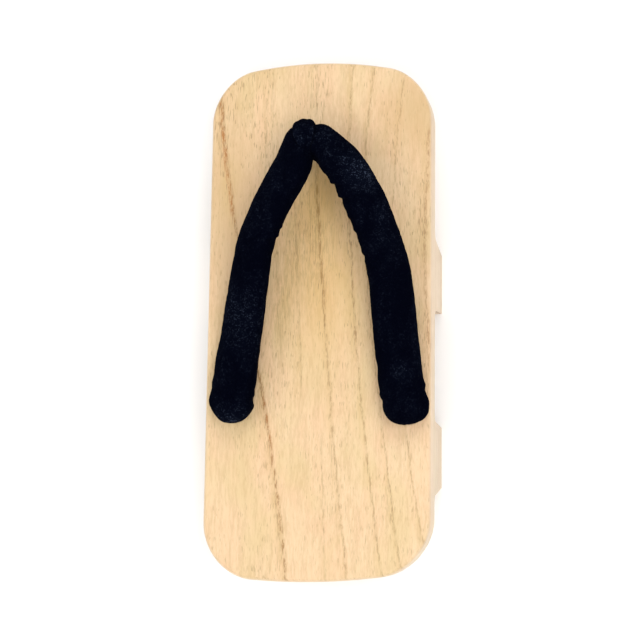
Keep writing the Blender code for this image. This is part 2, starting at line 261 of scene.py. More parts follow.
class Group:
    """A node group with named inputs and outputs, built once and placed where it is needed."""

    def __init__(
        self, name: str, inputs: dict[str, tuple[Kind, Any]], outputs: dict[str, Kind], geometry: bool = False
    ) -> None:
        """Makes the group's interface.

        Args:
            name: The group's name.
            inputs: Its inputs by name, each with its kind and its value.
            outputs: Its outputs by name.
            geometry: Whether it is a Geometry Nodes tree.
        """
        self.data = bpy.data.node_groups.new(name, "GeometryNodeTree" if geometry else "ShaderNodeTree")
        self.identifiers: dict[str, str] = {}
        for label, (kind, value) in inputs.items():
            socket = self.data.interface.new_socket(label, in_out="INPUT", socket_type=kind.value)
            if value is not None:
                socket.default_value = value
            self.identifiers[label] = socket.identifier
        for label, kind in outputs.items():
            self.data.interface.new_socket(label, in_out="OUTPUT", socket_type=kind.value)
        self.build = Tree(self.data)
        self.given = self.build.add("NodeGroupInput").outputs
        self.result = self.build.add("NodeGroupOutput").inputs

    def place(self, tree: Tree, **values: Any) -> bpy.types.bpy_prop_collection:
        """Places the group in a material or another group.

        Args:
            tree: The tree to place it in.
            values: Its inputs by name, with an underscore for a space.

        Returns:
            The placed group's outputs.
        """
        node = tree.add("ShaderNodeGroup", node_tree=self.data)
        tree.fill(node, {name.replace("_", " "): value for name, value in values.items()})
        return node.outputs


# A group's inputs that start at zero.
ZERO_VECTOR = (Kind.VECTOR, (0.0, 0.0, 0.0))
ZERO_NUMBER = (Kind.NUMBER, 0.0)


class GrowthLine(NamedTuple):
    """One growth line of the board, as x = middle + lean t + bow t2 + turn t3.

    Here t runs from -1 at the heel to 1 at the toe, and the line from heel_end to toe_end. The first five
    values are in millimetres. Strength is how dark the line is, and redness its hue, from brown at 0 to red
    at 1.
    """

    middle: float
    lean: float
    bow: float
    turn: float
    width: float
    strength: float
    heel_end: float
    toe_end: float
    redness: float


GROWTH_LINES = (
    GrowthLine(-32.6, -22.5, 1.1, 4.6, 1.35, 0.80, -1.2, 0.95, 0.35),
    GrowthLine(-33.4, -22.5, 1.1, 4.6, 1.5, 0.80, 0.34, 0.95, 1.0),
    GrowthLine(-32.1, -22.5, 1.1, 4.6, 1.1, 0.70, -0.56, -0.22, 0.9),
    GrowthLine(-33.9, -22.5, 1.1, 4.6, 0.8, 0.45, -0.92, -0.62, 0.1),
    GrowthLine(2.6, -10.5, 4.2, 2.1, 1.1, 0.50, -1.2, 0.66, 0.2),
    GrowthLine(2.9, -10.5, 4.2, 2.1, 1.3, 0.42, -0.10, 0.62, 0.2),
    GrowthLine(2.6, -10.5, 4.2, 2.1, 1.3, 0.24, 0.62, 1.2, 0.0),
    GrowthLine(17.0, -9.6, 6.4, 1.3, 0.95, 0.54, -1.2, 1.2, 0.2),
    GrowthLine(17.2, -9.6, 6.4, 1.3, 1.1, 0.20, -0.15, 0.60, 0.2),
    GrowthLine(24.5, -11.7, 8.5, 4.4, 0.9, 0.50, -1.2, 1.2, 0.2),
    GrowthLine(36.2, -8.5, 11.0, 2.1, 0.85, 0.44, -0.95, 1.2, 0.3),
    GrowthLine(50.9, -7.4, 13.0, -3.0, 1.4, 0.55, -0.5, 0.8, 0.5),
    GrowthLine(-28.8, 3.5, 0.0, 0.0, 0.9, 0.34, 0.45, 1.2, 0.0),
    GrowthLine(0.3, -4.7, 0.0, 0.0, 0.9, 0.32, -1.2, -0.4, 0.0),
    GrowthLine(-9.5, -6.0, 2.0, 1.0, 1.1, 0.34, -0.35, 0.75, 0.0),
    GrowthLine(-18.5, -9.0, 2.0, 2.0, 1.3, 0.22, -0.30, 1.2, 0.0),
    GrowthLine(-30.7, -14.0, 0.0, 0.0, 1.7, 0.85, -0.36, -0.17, 0.0),
)


class TonePatch(NamedTuple):
    """A place on the board's top where a darker colour is mixed in.

    The first four values are in millimetres. Share is how much of the darker colour shows. Gold is its hue,
    from brown at 0 to golden at 1, and a streak patch needs none. A tone patch is partly painted shade,
    between and beside the strap's arms and towards the toe, and partly the wood's own browner tone; a streak
    patch is the wood's dark fibres.
    """

    x: float
    y: float
    reach_x: float
    reach_y: float
    share: float
    gold: float = 0.0


# Painted shade between and beside the strap's arms and towards the toe, with the wood's own browner tone.
SHADE_AND_TONE_PATCHES = (
    TonePatch(1, 60, 18, 36, 0.48, 1.0),
    TonePatch(2, 22, 34, 60, 0.46, 0.85),
    TonePatch(46, 98, 30, 36, 0.64, 0.3),
    TonePatch(-44, 58, 24, 72, 0.58, 0.2),
    TonePatch(-24, 40, 12, 34, 0.14, 0.4),
)

# Where dark fibres show as fine streaks.
STREAK_PATCHES = (
    TonePatch(-4, 38, 20, 46, 0.42),
    TonePatch(-18, 8, 10, 36, 0.36),
)


class Grain(Enum):
    """How many cells of each noise in the wood go into a metre, along x, y and z."""

    FIBRE = (1100.0, 170.0, 1100.0)
    FIGURE = (300.0, 36.0, 260.0)
    PORE = (1900.0, 210.0, 1900.0)
    PORE_ZONE = (60.0, 16.0, 60.0)
    DASH = (1200.0, 220.0, 1200.0)
    WARM_AREA = (70.0, 28.0, 70.0)
    OLIVE_AREA = (46.0, 17.0, 46.0)
    STREAK = (1500.0, 130.0, 1500.0)
    SLOW_WANDER = (30.0, 26.0, 30.0)
    QUICK_WANDER = (60.0, 210.0, 60.0)


class WoodGroups:
    """The shader groups that the wood is made of."""

    def __init__(self) -> None:
        """Builds the groups."""
        self.line = self.growth_line()
        self.fibre = self.fibres()
        self.patch = self.tone_patch()

    def growth_line(self) -> Group:
        """One growth line as a mask on a plane that stands in the wood.

        Returns:
            The group. Its coordinates are in metres, and its sizes in millimetres.
        """
        end_fade, shoulder_offset, shoulder_width = 0.12, 1.1, 2.6
        numbers = ("Wander", "Middle", "Lean", "Bow", "Turn", "Width", "Heel End", "Toe End")
        inputs = {"Vector": ZERO_VECTOR} | {name: ZERO_NUMBER for name in numbers}
        group = Group("growth_line", inputs, {"Core": Kind.NUMBER, "Shoulder": Kind.NUMBER})
        t, given = group.build, group.given
        x, y, _ = t.parts(given["Vector"])
        y = t.math("MULTIPLY", y, 2 / BOARD_LENGTH)
        across = t.math("MULTIPLY", x, 1 / MM)
        cubic = t.math("MULTIPLY_ADD", given["Turn"], y, given["Bow"])
        cubic = t.math("MULTIPLY_ADD", cubic, y, given["Lean"])
        cubic = t.math("MULTIPLY_ADD", cubic, y, given["Middle"])
        off = t.math("ADD", t.math("SUBTRACT", across, cubic), given["Wander"])
        from_heel = t.ramp(t.math("SUBTRACT", y, given["Heel End"]), 0.0, end_fade)
        from_toe = t.ramp(t.math("SUBTRACT", given["Toe End"], y), 0.0, end_fade)
        ends = t.math("MULTIPLY", from_heel, from_toe)
        core = t.ramp(t.math("ABSOLUTE", off), 0.0, given["Width"], 1.0, 0.0)
        # The late wood fades into the early wood on the line's left.
        side = t.math("MULTIPLY_ADD", given["Width"], shoulder_offset, off)
        wide = t.math("MULTIPLY", given["Width"], shoulder_width)
        shoulder = t.ramp(t.math("ABSOLUTE", side), 0.0, wide, 1.0, 0.0)
        t.wire(t.math("MULTIPLY", core, ends), group.result["Core"])
        t.wire(t.math("MULTIPLY", shoulder, ends), group.result["Shoulder"])
        return group

    def fibres(self) -> Group:
        """The fine figure of the wood: fibres, open pores, and broad warm and olive areas.

        Returns:
            The group. Its outputs lie between 0 and 1, apart from Height.
        """
        fine_share, figure_share, near_line_share, pore_edge = 0.6, 0.4, -0.10, 0.04
        pore_depth, fibre_height = -0.8, 0.6
        names = ("Fibre", "Pores", "Dashes", "Warm", "Olive", "Height")
        inputs = {"Vector": ZERO_VECTOR, "Near Line": ZERO_NUMBER}
        group = Group("wood_fibres", inputs, {name: Kind.NUMBER for name in names})
        t = group.build
        at = group.given["Vector"]
        fine = t.math("MULTIPLY", t.noise(at, Grain.FIBRE.value, 3.0, 0.75, 0.3), fine_share)
        figure = t.math("MULTIPLY", t.noise(at, Grain.FIGURE.value, 3.0, 0.6, 0.8), figure_share)
        fibre = t.math("ADD", fine, figure)
        specks = t.noise(at, Grain.PORE.value, 1.0, 0.5)
        # Where the limit is lower, and near a growth line, more of the specks are open pores.
        limit = t.ramp(t.noise(at, Grain.PORE_ZONE.value, 3.0, 0.6), 0.35, 0.68, 0.71, 0.59)
        limit = t.math("MULTIPLY_ADD", group.given["Near Line"], near_line_share, limit)
        pores = t.ramp(t.math("SUBTRACT", specks, limit), 0.0, pore_edge)
        height = t.math("MULTIPLY_ADD", pores, pore_depth, t.math("MULTIPLY", fibre, fibre_height))
        results = (
            t.ramp(fibre, 0.40, 0.64),
            pores,
            t.ramp(t.noise(at, Grain.DASH.value, 3.0, 0.7), 0.45, 0.57),
            t.ramp(t.noise(at, Grain.WARM_AREA.value, 3.0, 0.6, 0.6), 0.38, 0.66),
            t.ramp(t.noise(at, Grain.OLIVE_AREA.value, 3.0, 0.6, 0.5), 0.42, 0.68),
            height,
        )
        for name, result in zip(names, results):
            t.wire(result, group.result[name])
        return group

    def tone_patch(self) -> Group:
        """A soft oval spot on the board's top, seen from above.

        Returns:
            The group. Scale holds one over each reach, in metres.
        """
        inputs = {"Vector": ZERO_VECTOR, "Centre": ZERO_VECTOR, "Scale": (Kind.VECTOR, (1.0, 1.0, 0.0))}
        group = Group("tone_patch", inputs, {"Mask": Kind.NUMBER})
        t, given = group.build, group.given
        gap = t.vector("SUBTRACT", given["Vector"], given["Centre"])[0]
        away = t.vector("LENGTH", t.vector("MULTIPLY", gap, given["Scale"])[0])["Value"]
        t.wire(t.ramp(away, 0.0, 1.0, 1.0, 0.0), group.result["Mask"])
        return group


@dataclass(frozen=True)
class PaulowniaFinish:
    """Pale paulownia under a thin satin lacquer."""

    pale: RGB = (0.755, 0.546, 0.323)
    warm: RGB = (0.760, 0.510, 0.300)
    olive: RGB = (0.646, 0.487, 0.232)
    fibre_dark: RGB = (0.519, 0.319, 0.141)
    # Brown and gold tint the tone patches, which are painted shade mixed with the wood's own tone.
    brown: RGB = (0.500, 0.340, 0.185)
    gold: RGB = (0.620, 0.368, 0.060)
    streak: RGB = (0.240, 0.140, 0.022)
    rim: RGB = (0.801, 0.637, 0.455)
    line_brown: RGB = (0.250, 0.134, 0.028)
    line_red: RGB = (0.380, 0.125, 0.010)
    line_ochre: RGB = (0.564, 0.364, 0.137)
    pore: RGB = (0.250, 0.125, 0.035)
    warm_share: float = 0.8
    olive_share: float = 0.6
    fibre_share: float = 0.42
    ochre_share: float = 0.30
    heel_pores: float = 0.33
    toe_pores: float = 0.44
    rim_share: float = 0.42
    ring_lean: float = 0.9
    slow_wander: float = 2.8
    quick_wander: float = 1.1
    line_gaps: float = 0.82
    line_share: float = 1.02
    line_limit: float = 0.95
    relief: float = 0.12 * MM
    relief_strength: float = 0.35
    lacquer: float = 0.22
    lacquer_roughness: float = 0.28
    lacquer_ior: float = 1.48

    def lines(self, t: Tree, groups: WoodGroups, plane: Any, wander: Any) -> tuple[Any, Any]:
        """Lays every growth line.

        Args:
            t: The material's tree.
            groups: The wood's shader groups.
            plane: The coordinates, with the growth rings upright.
            wander: How far each line strays, in millimetres.

        Returns:
            The cores and the soft shoulders, each as pairs of a mask and its line.
        """
        cores, shoulders = [], []
        for line in GROWTH_LINES:
            placed = groups.line.place(
                t,
                Vector=plane,
                Wander=wander,
                Middle=line.middle,
                Lean=line.lean,
                Bow=line.bow,
                Turn=line.turn,
                Width=line.width,
                Heel_End=line.heel_end,
                Toe_End=line.toe_end,
            )
            cores.append((placed["Core"], line))
            shoulders.append((placed["Shoulder"], line))
        return cores, shoulders

    def patch_share(self, t: Tree, groups: WoodGroups, at: Any, patch: TonePatch) -> Any:
        """How far a tone patch shows.

        Args:
            t: The material's tree.
            groups: The wood's shader groups.
            at: The object coordinates.
            patch: The patch.

        Returns:
            The share as a socket.
        """
        centre = (patch.x * MM, patch.y * MM, 0.0)
        scale = (1 / MM / patch.reach_x, 1 / MM / patch.reach_y, 0.0)
        mask = groups.patch.place(t, Vector=at, Centre=centre, Scale=scale)["Mask"]
        return t.math("MULTIPLY", mask, patch.share)

    def colours(self, t: Tree, groups: WoodGroups, at: Any, plane: Any, wander: Any) -> tuple[Any, Any]:
        """Lays the wood's colours and its painted shade over each other, from the pale ground to the growth
        lines and the pores.

        Args:
            t: The material's tree.
            groups: The wood's shader groups.
            at: The object coordinates.
            plane: The coordinates, with the growth rings upright.
            wander: How far each line strays, in millimetres.

        Returns:
            The colour and the placed fibre group's outputs.
        """
        cores, shoulders = self.lines(t, groups, plane, wander)
        near: Any = 0.0
        for mask, line in shoulders:
            near = t.math("MAXIMUM", near, t.math("MULTIPLY", mask, line.strength))
        fibre = groups.fibre.place(t, Vector=plane, Near_Line=near)
        colour = t.mix(t.math("MULTIPLY", fibre["Warm"], self.warm_share), self.pale, self.warm)
        colour = t.mix(t.math("MULTIPLY", fibre["Olive"], self.olive_share), colour, self.olive)
        colour = t.mix(t.math("MULTIPLY", fibre["Fibre"], self.fibre_share), colour, self.fibre_dark)
        # Painted shade, with some of the wood's own tone, darkens the top between and beside the arms and
        # towards the toe.
        for patch in SHADE_AND_TONE_PATCHES:
            tint = tuple(b + (g - b) * patch.gold for b, g in zip(self.brown, self.gold))
            colour = t.mix(self.patch_share(t, groups, at, patch), colour, tint)
        colour = t.mix(t.math("MULTIPLY", near, self.ochre_share), colour, self.line_ochre)
        streaks = t.ramp(t.noise(plane, Grain.STREAK.value, 3.0, 0.7), 0.46, 0.60)
        for patch in STREAK_PATCHES:
            share = t.math("MULTIPLY", self.patch_share(t, groups, at, patch), streaks)
            colour = t.mix(share, colour, self.streak)
        broken = t.math("MULTIPLY_ADD", fibre["Dashes"], self.line_gaps, 1 - self.line_gaps)
        for mask, line in cores:
            tint = tuple(b + (r - b) * line.redness for b, r in zip(self.line_brown, self.line_red))
            strength = min(self.line_limit, self.line_share * line.strength)
            share = t.math("MULTIPLY", t.math("MULTIPLY", mask, broken), strength)
            colour = t.mix(share, colour, tint)
        toeward = t.ramp(t.parts(at)[1], -90 * MM, 70 * MM, self.heel_pores, self.toe_pores)
        return t.mix(t.math("MULTIPLY", fibre["Pores"], toeward), colour, self.pore), fibre

    def material(self, groups: WoodGroups) -> bpy.types.Material:
        """Builds the material.

        Args:
            groups: The wood's shader groups.

        Returns:
            The material.
        """
        made, t, shader = new_material(Slot.WOOD.value)
        coordinates = t.add("ShaderNodeTexCoord").outputs
        at = coordinates["Object"]
        x, y, z = t.parts(at)
        # The growth rings lean through the block, so each line crosses the sides and the ends too.
        depth = t.math("SUBTRACT", z, BOARD_TOP)
        bent = t.add("ShaderNodeCombineXYZ")
        t.fill(bent, {"X": t.math("MULTIPLY_ADD", depth, self.ring_lean, x), "Y": y, "Z": z})
        plane = bent.outputs[0]
        slow = t.math("SUBTRACT", t.noise(plane, Grain.SLOW_WANDER.value, 3.0, 0.6), 0.5)
        quick = t.math("SUBTRACT", t.noise(plane, Grain.QUICK_WANDER.value, 2.0, 0.7), 0.5)
        slow = t.math("MULTIPLY", slow, self.slow_wander)
        wander = t.math("MULTIPLY_ADD", quick, self.quick_wander, slow)
        colour, fibre = self.colours(t, groups, at, plane, wander)
        # The eased edges and the sides are paler than the lacquered top: a painted highlight along the
        # rounded edges, with the paler wood of the sides.
        facing_up = t.parts(coordinates["Normal"])[2]
        paler = t.ramp(facing_up, 0.97, 0.55, 0.0, self.rim_share)
        t.fill(shader, {
            "Base Color": t.mix(paler, colour, self.rim),
            "Roughness": t.ramp(fibre["Fibre"], 0.0, 1.0, 0.42, 0.56),
            "Normal": t.bump(fibre["Height"], self.relief_strength, self.relief),
            "Coat Weight": self.lacquer,
            "Coat Roughness": self.lacquer_roughness,
            "Coat IOR": self.lacquer_ior,
        })
        return made


class NapGroup:
    """The shader group of cut pile, which both the velvet and the cords are made with."""

    tuft_grain: RGB = (1500.0, 1500.0, 1500.0)
    curl_grain: RGB = (520.0, 520.0, 520.0)
    brush_grain: RGB = (95.0, 60.0, 95.0)

    def __init__(self) -> None:
        """Builds the group."""
        tuft_share, curl_share, curl_height = 0.6, 0.4, 0.8
        inputs = {"Vector": ZERO_VECTOR, "Tuft": (Kind.NUMBER, 0.8)}
        group = Group("cut_pile", inputs, {name: Kind.NUMBER for name in ("Specks", "Brushed", "Height")})
        t = group.build
        scaled = t.add("ShaderNodeVectorMath", operation="SCALE")
        t.fill(scaled, {"Vector": group.given["Vector"], "Scale": t.math("DIVIDE", 1.0, group.given["Tuft"])})
        at = scaled.outputs[0]
        tufts = t.noise(at, self.tuft_grain, 2.0, 0.6)
        curls = t.noise(at, self.curl_grain, 2.0, 0.6, 0.9)
        brushed = t.noise(group.given["Vector"], self.brush_grain, 2.0, 0.55, 0.6)
        piled = t.math("ADD", t.math("MULTIPLY", tufts, tuft_share), t.math("MULTIPLY", curls, curl_share))
        t.wire(t.ramp(piled, 0.53, 0.65), group.result["Specks"])
        t.wire(brushed, group.result["Brushed"])
        height = t.math("ADD", tufts, t.math("MULTIPLY", curls, curl_height))
        t.wire(height, group.result["Height"])
        self.group = group


class SheenPatch(NamedTuple):
    """A place where sheen is painted on the velvet: its pile is coloured lighter, as brushed-up pile looks
    where it catches the light.

    The first four values are in millimetres.
    """

    x: float
    y: float
    z: float
    reach: float
    strength: float


# Painted sheen on the strap and the loop, where the pile is coloured lighter.
PAINTED_SHEEN_PATCHES = (
    SheenPatch(24.3, 65.8, 77.5, 14.5, 0.70),
    SheenPatch(17, 70, 80, 8, 0.40),
    SheenPatch(8.5, 74.5, 80, 3.5, 0.55),
    SheenPatch(-37.6, -46.5, 58, 11, 0.95),
    SheenPatch(8, 84, 78, 9, 0.35),
    SheenPatch(1.6, 84.8, 78, 3.5, 0.9),
    SheenPatch(0.2, 80, 80, 3, 0.7),
    SheenPatch(-7.6, 83, 79, 3, 0.6),
    SheenPatch(-5, 79, 80, 3.5, 0.7),
    SheenPatch(-34, 0, 68, 20, 0.30),
    SheenPatch(-19, 58, 79, 8, 0.16),
    SheenPatch(33, 45, 76, 9, 0.22),
    SheenPatch(42, -26, 66, 9, 0.30),
)


@dataclass(frozen=True)
class VelvetFinish:
    """Black velvet with a blue cast. With other values it is the cotton of the cords."""

    name: str = Slot.VELVET.value
    deep: RGB = (0.0006, 0.0009, 0.0036)
    raised: RGB = (0.0034, 0.0050, 0.0115)
    bright: RGB = (0.062, 0.080, 0.125)
    sheen: float = 0.006
    shine: float = 0.005
    tint: RGB = (0.42, 0.52, 0.90)
    tuft: float = 0.85
    relief: float = 0.7 * MM
    relief_strength: float = 0.6
    sheen_roughness: float = 0.38
    brushed_lift: float = 0.12
    sheen_patch_lift: float = 0.8
    speck_share: float = 0.022
    lifted_share: float = 1.05

    def material(self, nap: NapGroup) -> bpy.types.Material:
        """Builds the material.

        Args:
            nap: The cut pile's shader group.

        Returns:
            The material.
        """
        made, t, shader = new_material(self.name)
        at = t.add("ShaderNodeTexCoord").outputs["Object"]
        pile = nap.group.place(t, Vector=at, Tuft=self.tuft)
        patches: Any = 0.0
        # Painted sheen: the pile is coloured lighter round each of these places.
        for patch in PAINTED_SHEEN_PATCHES:
            away = t.vector("DISTANCE", at, (patch.x * MM, patch.y * MM, patch.z * MM))["Value"]
            glow = t.ramp(away, 0.0, patch.reach * MM, patch.strength, 0.0)
            patches = t.math("MAXIMUM", patches, glow)
        brushed = t.math("MULTIPLY", t.ramp(pile["Brushed"], 0.40, 0.68), self.brushed_lift)
        lift = t.math("ADD", brushed, t.math("MULTIPLY", patches, self.sheen_patch_lift), clamp=True)
        base = t.mix(lift, self.deep, self.raised)
        share = t.math("MULTIPLY_ADD", lift, self.lifted_share, self.speck_share)
        t.fill(shader, {
            "Base Color": t.mix(t.math("MULTIPLY", pile["Specks"], share), base, self.bright),
            "Roughness": t.ramp(pile["Specks"], 0.0, 1.0, 0.95, 0.7),
            "Normal": t.bump(pile["Height"], self.relief_strength, self.relief),
            "Specular IOR Level": self.shine,
            "Sheen Weight": self.sheen,
            "Sheen Roughness": self.sheen_roughness,
            "Sheen Tint": (*self.tint, 1.0),
        })
        return made


@dataclass(frozen=True)
class FloorFinish:
    """A pale matt studio floor."""

    colour: RGB = (0.93, 0.93, 0.925)
    mottle_grain: RGB = (3.0, 3.0, 3.0)
    mottle_share: float = 1.02
    near_glow: RGB = (0.05, 0.05, 0.053)
    glow: RGB = (0.72, 0.72, 0.72)
    glow_from: float = 0.3
    glow_to: float = 1.6

    def material(self) -> bpy.types.Material:
        """Builds the material.

        Returns:
            The material.
        """
        made, t, shader = new_material("pale_floor")
        at = t.add("ShaderNodeTexCoord").outputs["Object"]
        paler = tuple(min(1.0, part * self.mottle_share) for part in self.colour)
        # The floor fades to the white of the backdrop, as the paper of a light tent does. Near the geta it
        # glows faintly too: painted light that lightens the shade the geta casts on the floor.
        away = t.ramp(t.vector("LENGTH", at)["Value"], self.glow_from, self.glow_to)
        t.fill(shader, {
            "Base Color": t.mix(t.noise(at, self.mottle_grain, 3.0, 0.5), self.colour, paler),
            "Roughness": 0.9,
            "Specular IOR Level": 0.1,
            "Emission Color": t.mix(away, self.near_glow, self.glow),
            "Emission Strength": 1.0,
        })
        return made


@dataclass
class Finishes:
    """Every material of the geta, built once."""

    wood: bpy.types.Material = field(init=False)
    velvet: bpy.types.Material = field(init=False)
    cord: bpy.types.Material = field(init=False)
    floor: bpy.types.Material = field(init=False)

    def __post_init__(self) -> None:
        """Builds the groups and the materials."""
        nap = NapGroup()
        self.wood = PaulowniaFinish().material(WoodGroups())
        self.velvet = VelvetFinish().material(nap)
        cotton = VelvetFinish(
            name=Slot.CORD.value,
            deep=(0.006, 0.006, 0.008),
            raised=(0.018, 0.018, 0.021),
            bright=(0.06, 0.06, 0.065),
            sheen=0.12,
            shine=0.2,
            tint=(0.8, 0.8, 0.85),
            tuft=0.45,
            relief=0.2 * MM,
        )
        self.cord = cotton.material(nap)
        self.floor = FloorFinish().material()


def new_object(name: str, points: Sequence[Any], faces: Sequence[Any]) -> bpy.types.Object:
    """Makes a mesh object at the origin.

    Args:
        name: The object's name.
        points: Its points, in metres.
        faces: Its faces, as tuples of point numbers.

    Returns:
        The object.
    """
    mesh = bpy.data.meshes.new(name)
    mesh.from_pydata([tuple(point) for point in points], [], [tuple(face) for face in faces])
    mesh.validate()
    obj = bpy.data.objects.new(name, mesh)
    bpy.context.scene.collection.objects.link(obj)
    return obj


def point_outwards(obj: bpy.types.Object) -> None:
    """Turns the faces of a closed mesh outwards.

    Args:
        obj: The mesh object.
    """
    made = bmesh.new()
    made.from_mesh(obj.data)
    bmesh.ops.recalc_face_normals(made, faces=made.faces)
    made.to_mesh(obj.data)
    made.free()


def settle_modifiers(obj: bpy.types.Object) -> bpy.types.Object:
    """Applies the object's modifiers to a plain mesh.

    Args:
        obj: The object.

    Returns:
        The same object, with no modifiers left.
    """
    bpy.context.view_layer.update()
    graph = bpy.context.evaluated_depsgraph_get()
    mesh = bpy.data.meshes.new_from_object(obj.evaluated_get(graph), depsgraph=graph)
    obj.modifiers.clear()
    obj.data = mesh
    return obj


def boolean(target: bpy.types.Object, other: bpy.types.Object, operation: str) -> None:
    """Cuts or joins with another object, which is then removed.

    Args:
        target: The object that is kept.
        other: The cutter or the joined piece.
        operation: The Boolean operation.
    """
    modifier = target.modifiers.new(operation.lower(), "BOOLEAN")
    modifier.operation = operation
    modifier.object = other
    settle_modifiers(target)
    bpy.data.objects.remove(other)


def loft(name: str, rings: np.ndarray, closed: bool = False) -> bpy.types.Object:
    """Skins a row of rings.

    Args:
        name: The object's name.
        rings: Points as an array of rings, sides and coordinates.
        closed: Whether the last ring joins the first. Otherwise each end gets a face.

    Returns:
        The object.
    """
    count, sides = rings.shape[:2]
    index = np.arange(count * sides).reshape(count, sides)
    rows = count if closed else count - 1
    faces: list[tuple[int, ...]] = []
    for i in range(rows):
        here, there = index[i], index[(i + 1) % count]
        faces += list(zip(here, np.roll(here, -1), np.roll(there, -1), there))
    if not closed:
        faces += [tuple(index[0]), tuple(index[-1][::-1])]
    obj = new_object(name, rings.reshape(-1, 3).tolist(), [tuple(int(v) for v in face) for face in faces])
    point_outwards(obj)
    return obj


def neighbours(rows: Sequence[Any], index: int) -> list[Any]:
    """The rows that shape the curve from one row to the next. An end row stands in for a missing one."""
    return [rows[min(max(index + step, 0), len(rows) - 1)] for step in (-1, 0, 1, 2)]


def on_curve(picked: Sequence[Any], share: float) -> Any:
    """A value on a smooth curve from the second of four values to the third.

    Args:
        picked: The four numbers or vectors.
        share: The share of the way.

    Returns:
        The value.
    """
    before, start, end, after = picked
    rise, fall = (end - before) / 2, (after - start) / 2
    return (
        (2 * share**3 - 3 * share**2 + 1) * start
        + (share**3 - 2 * share**2 + share) * rise
        + (3 * share**2 - 2 * share**3) * end
        + (share**3 - share**2) * fall
    )


def smooth_row(rows: Sequence[Any], place: float) -> Any:
    """The columns of a table at a place between its rows, on a smooth curve through them.

    Args:
        rows: The table, as rows of one NamedTuple.
        place: The place, from 0 at the first row.

    Returns:
        A row of the same type.
    """
    index = min(int(place), len(rows) - 2)
    columns = zip(*neighbours(rows, index))
    return type(rows[0])(*(on_curve(column, place - index) for column in columns))


def smooth_path(points: Sequence[Vector], spacing: float) -> list[Vector]:
    """Points about spacing apart on a smooth curve through the given ones.

    Args:
        points: The points that the curve goes through.
        spacing: The distance between the new points.

    Returns:
        The new points.
    """
    path = []
    for index in range(len(points) - 1):
        picked = neighbours(points, index)
        steps = max(2, round((picked[2] - picked[1]).length / spacing))
        path += [on_curve(picked, step / steps) for step in range(steps)]
    return path + [points[-1]]


def roughen(obj: bpy.types.Object, layers: Sequence[tuple[float, float]]) -> None:
    """Moves the points of a mesh in and out along their normals by layers of noise.

    Args:
        obj: The mesh object.
        layers: Pairs of wavelength and depth, in metres.
    """
    layer_step, start_y, start_z = 7.3, 3.1, 1.7
    mesh = obj.data
    moved = []
    for vertex in mesh.vertices:
        shift = 0.0
        for number, (wave, depth) in enumerate(layers):
            # Each layer reads a part of the noise of its own.
            shift += depth * noise.noise(vertex.co / wave + Vector((layer_step * number, start_y, start_z)))
        moved.append(vertex.co + vertex.normal * shift)
    for vertex, place in zip(mesh.vertices, moved):
        vertex.co = place
    mesh.update()


def finish_piece(obj: bpy.types.Object, material: bpy.types.Material, node: str) -> None:
    """Gives a piece its material and slot, and puts it in the place of its CAD node.

    Args:
        obj: The piece.
        material: The material.
        node: The CAD node that it stands for.
    """
    obj.data.materials.clear()
    obj.data.materials.append(material)
    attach(obj, "root")
    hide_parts(node)
    LOG.info("%s: %d faces", obj.name, len(obj.data.polygons))


class Hole(NamedTuple):
    """A round hole down through the board, in metres."""

    x: float
    y: float
    radius: float


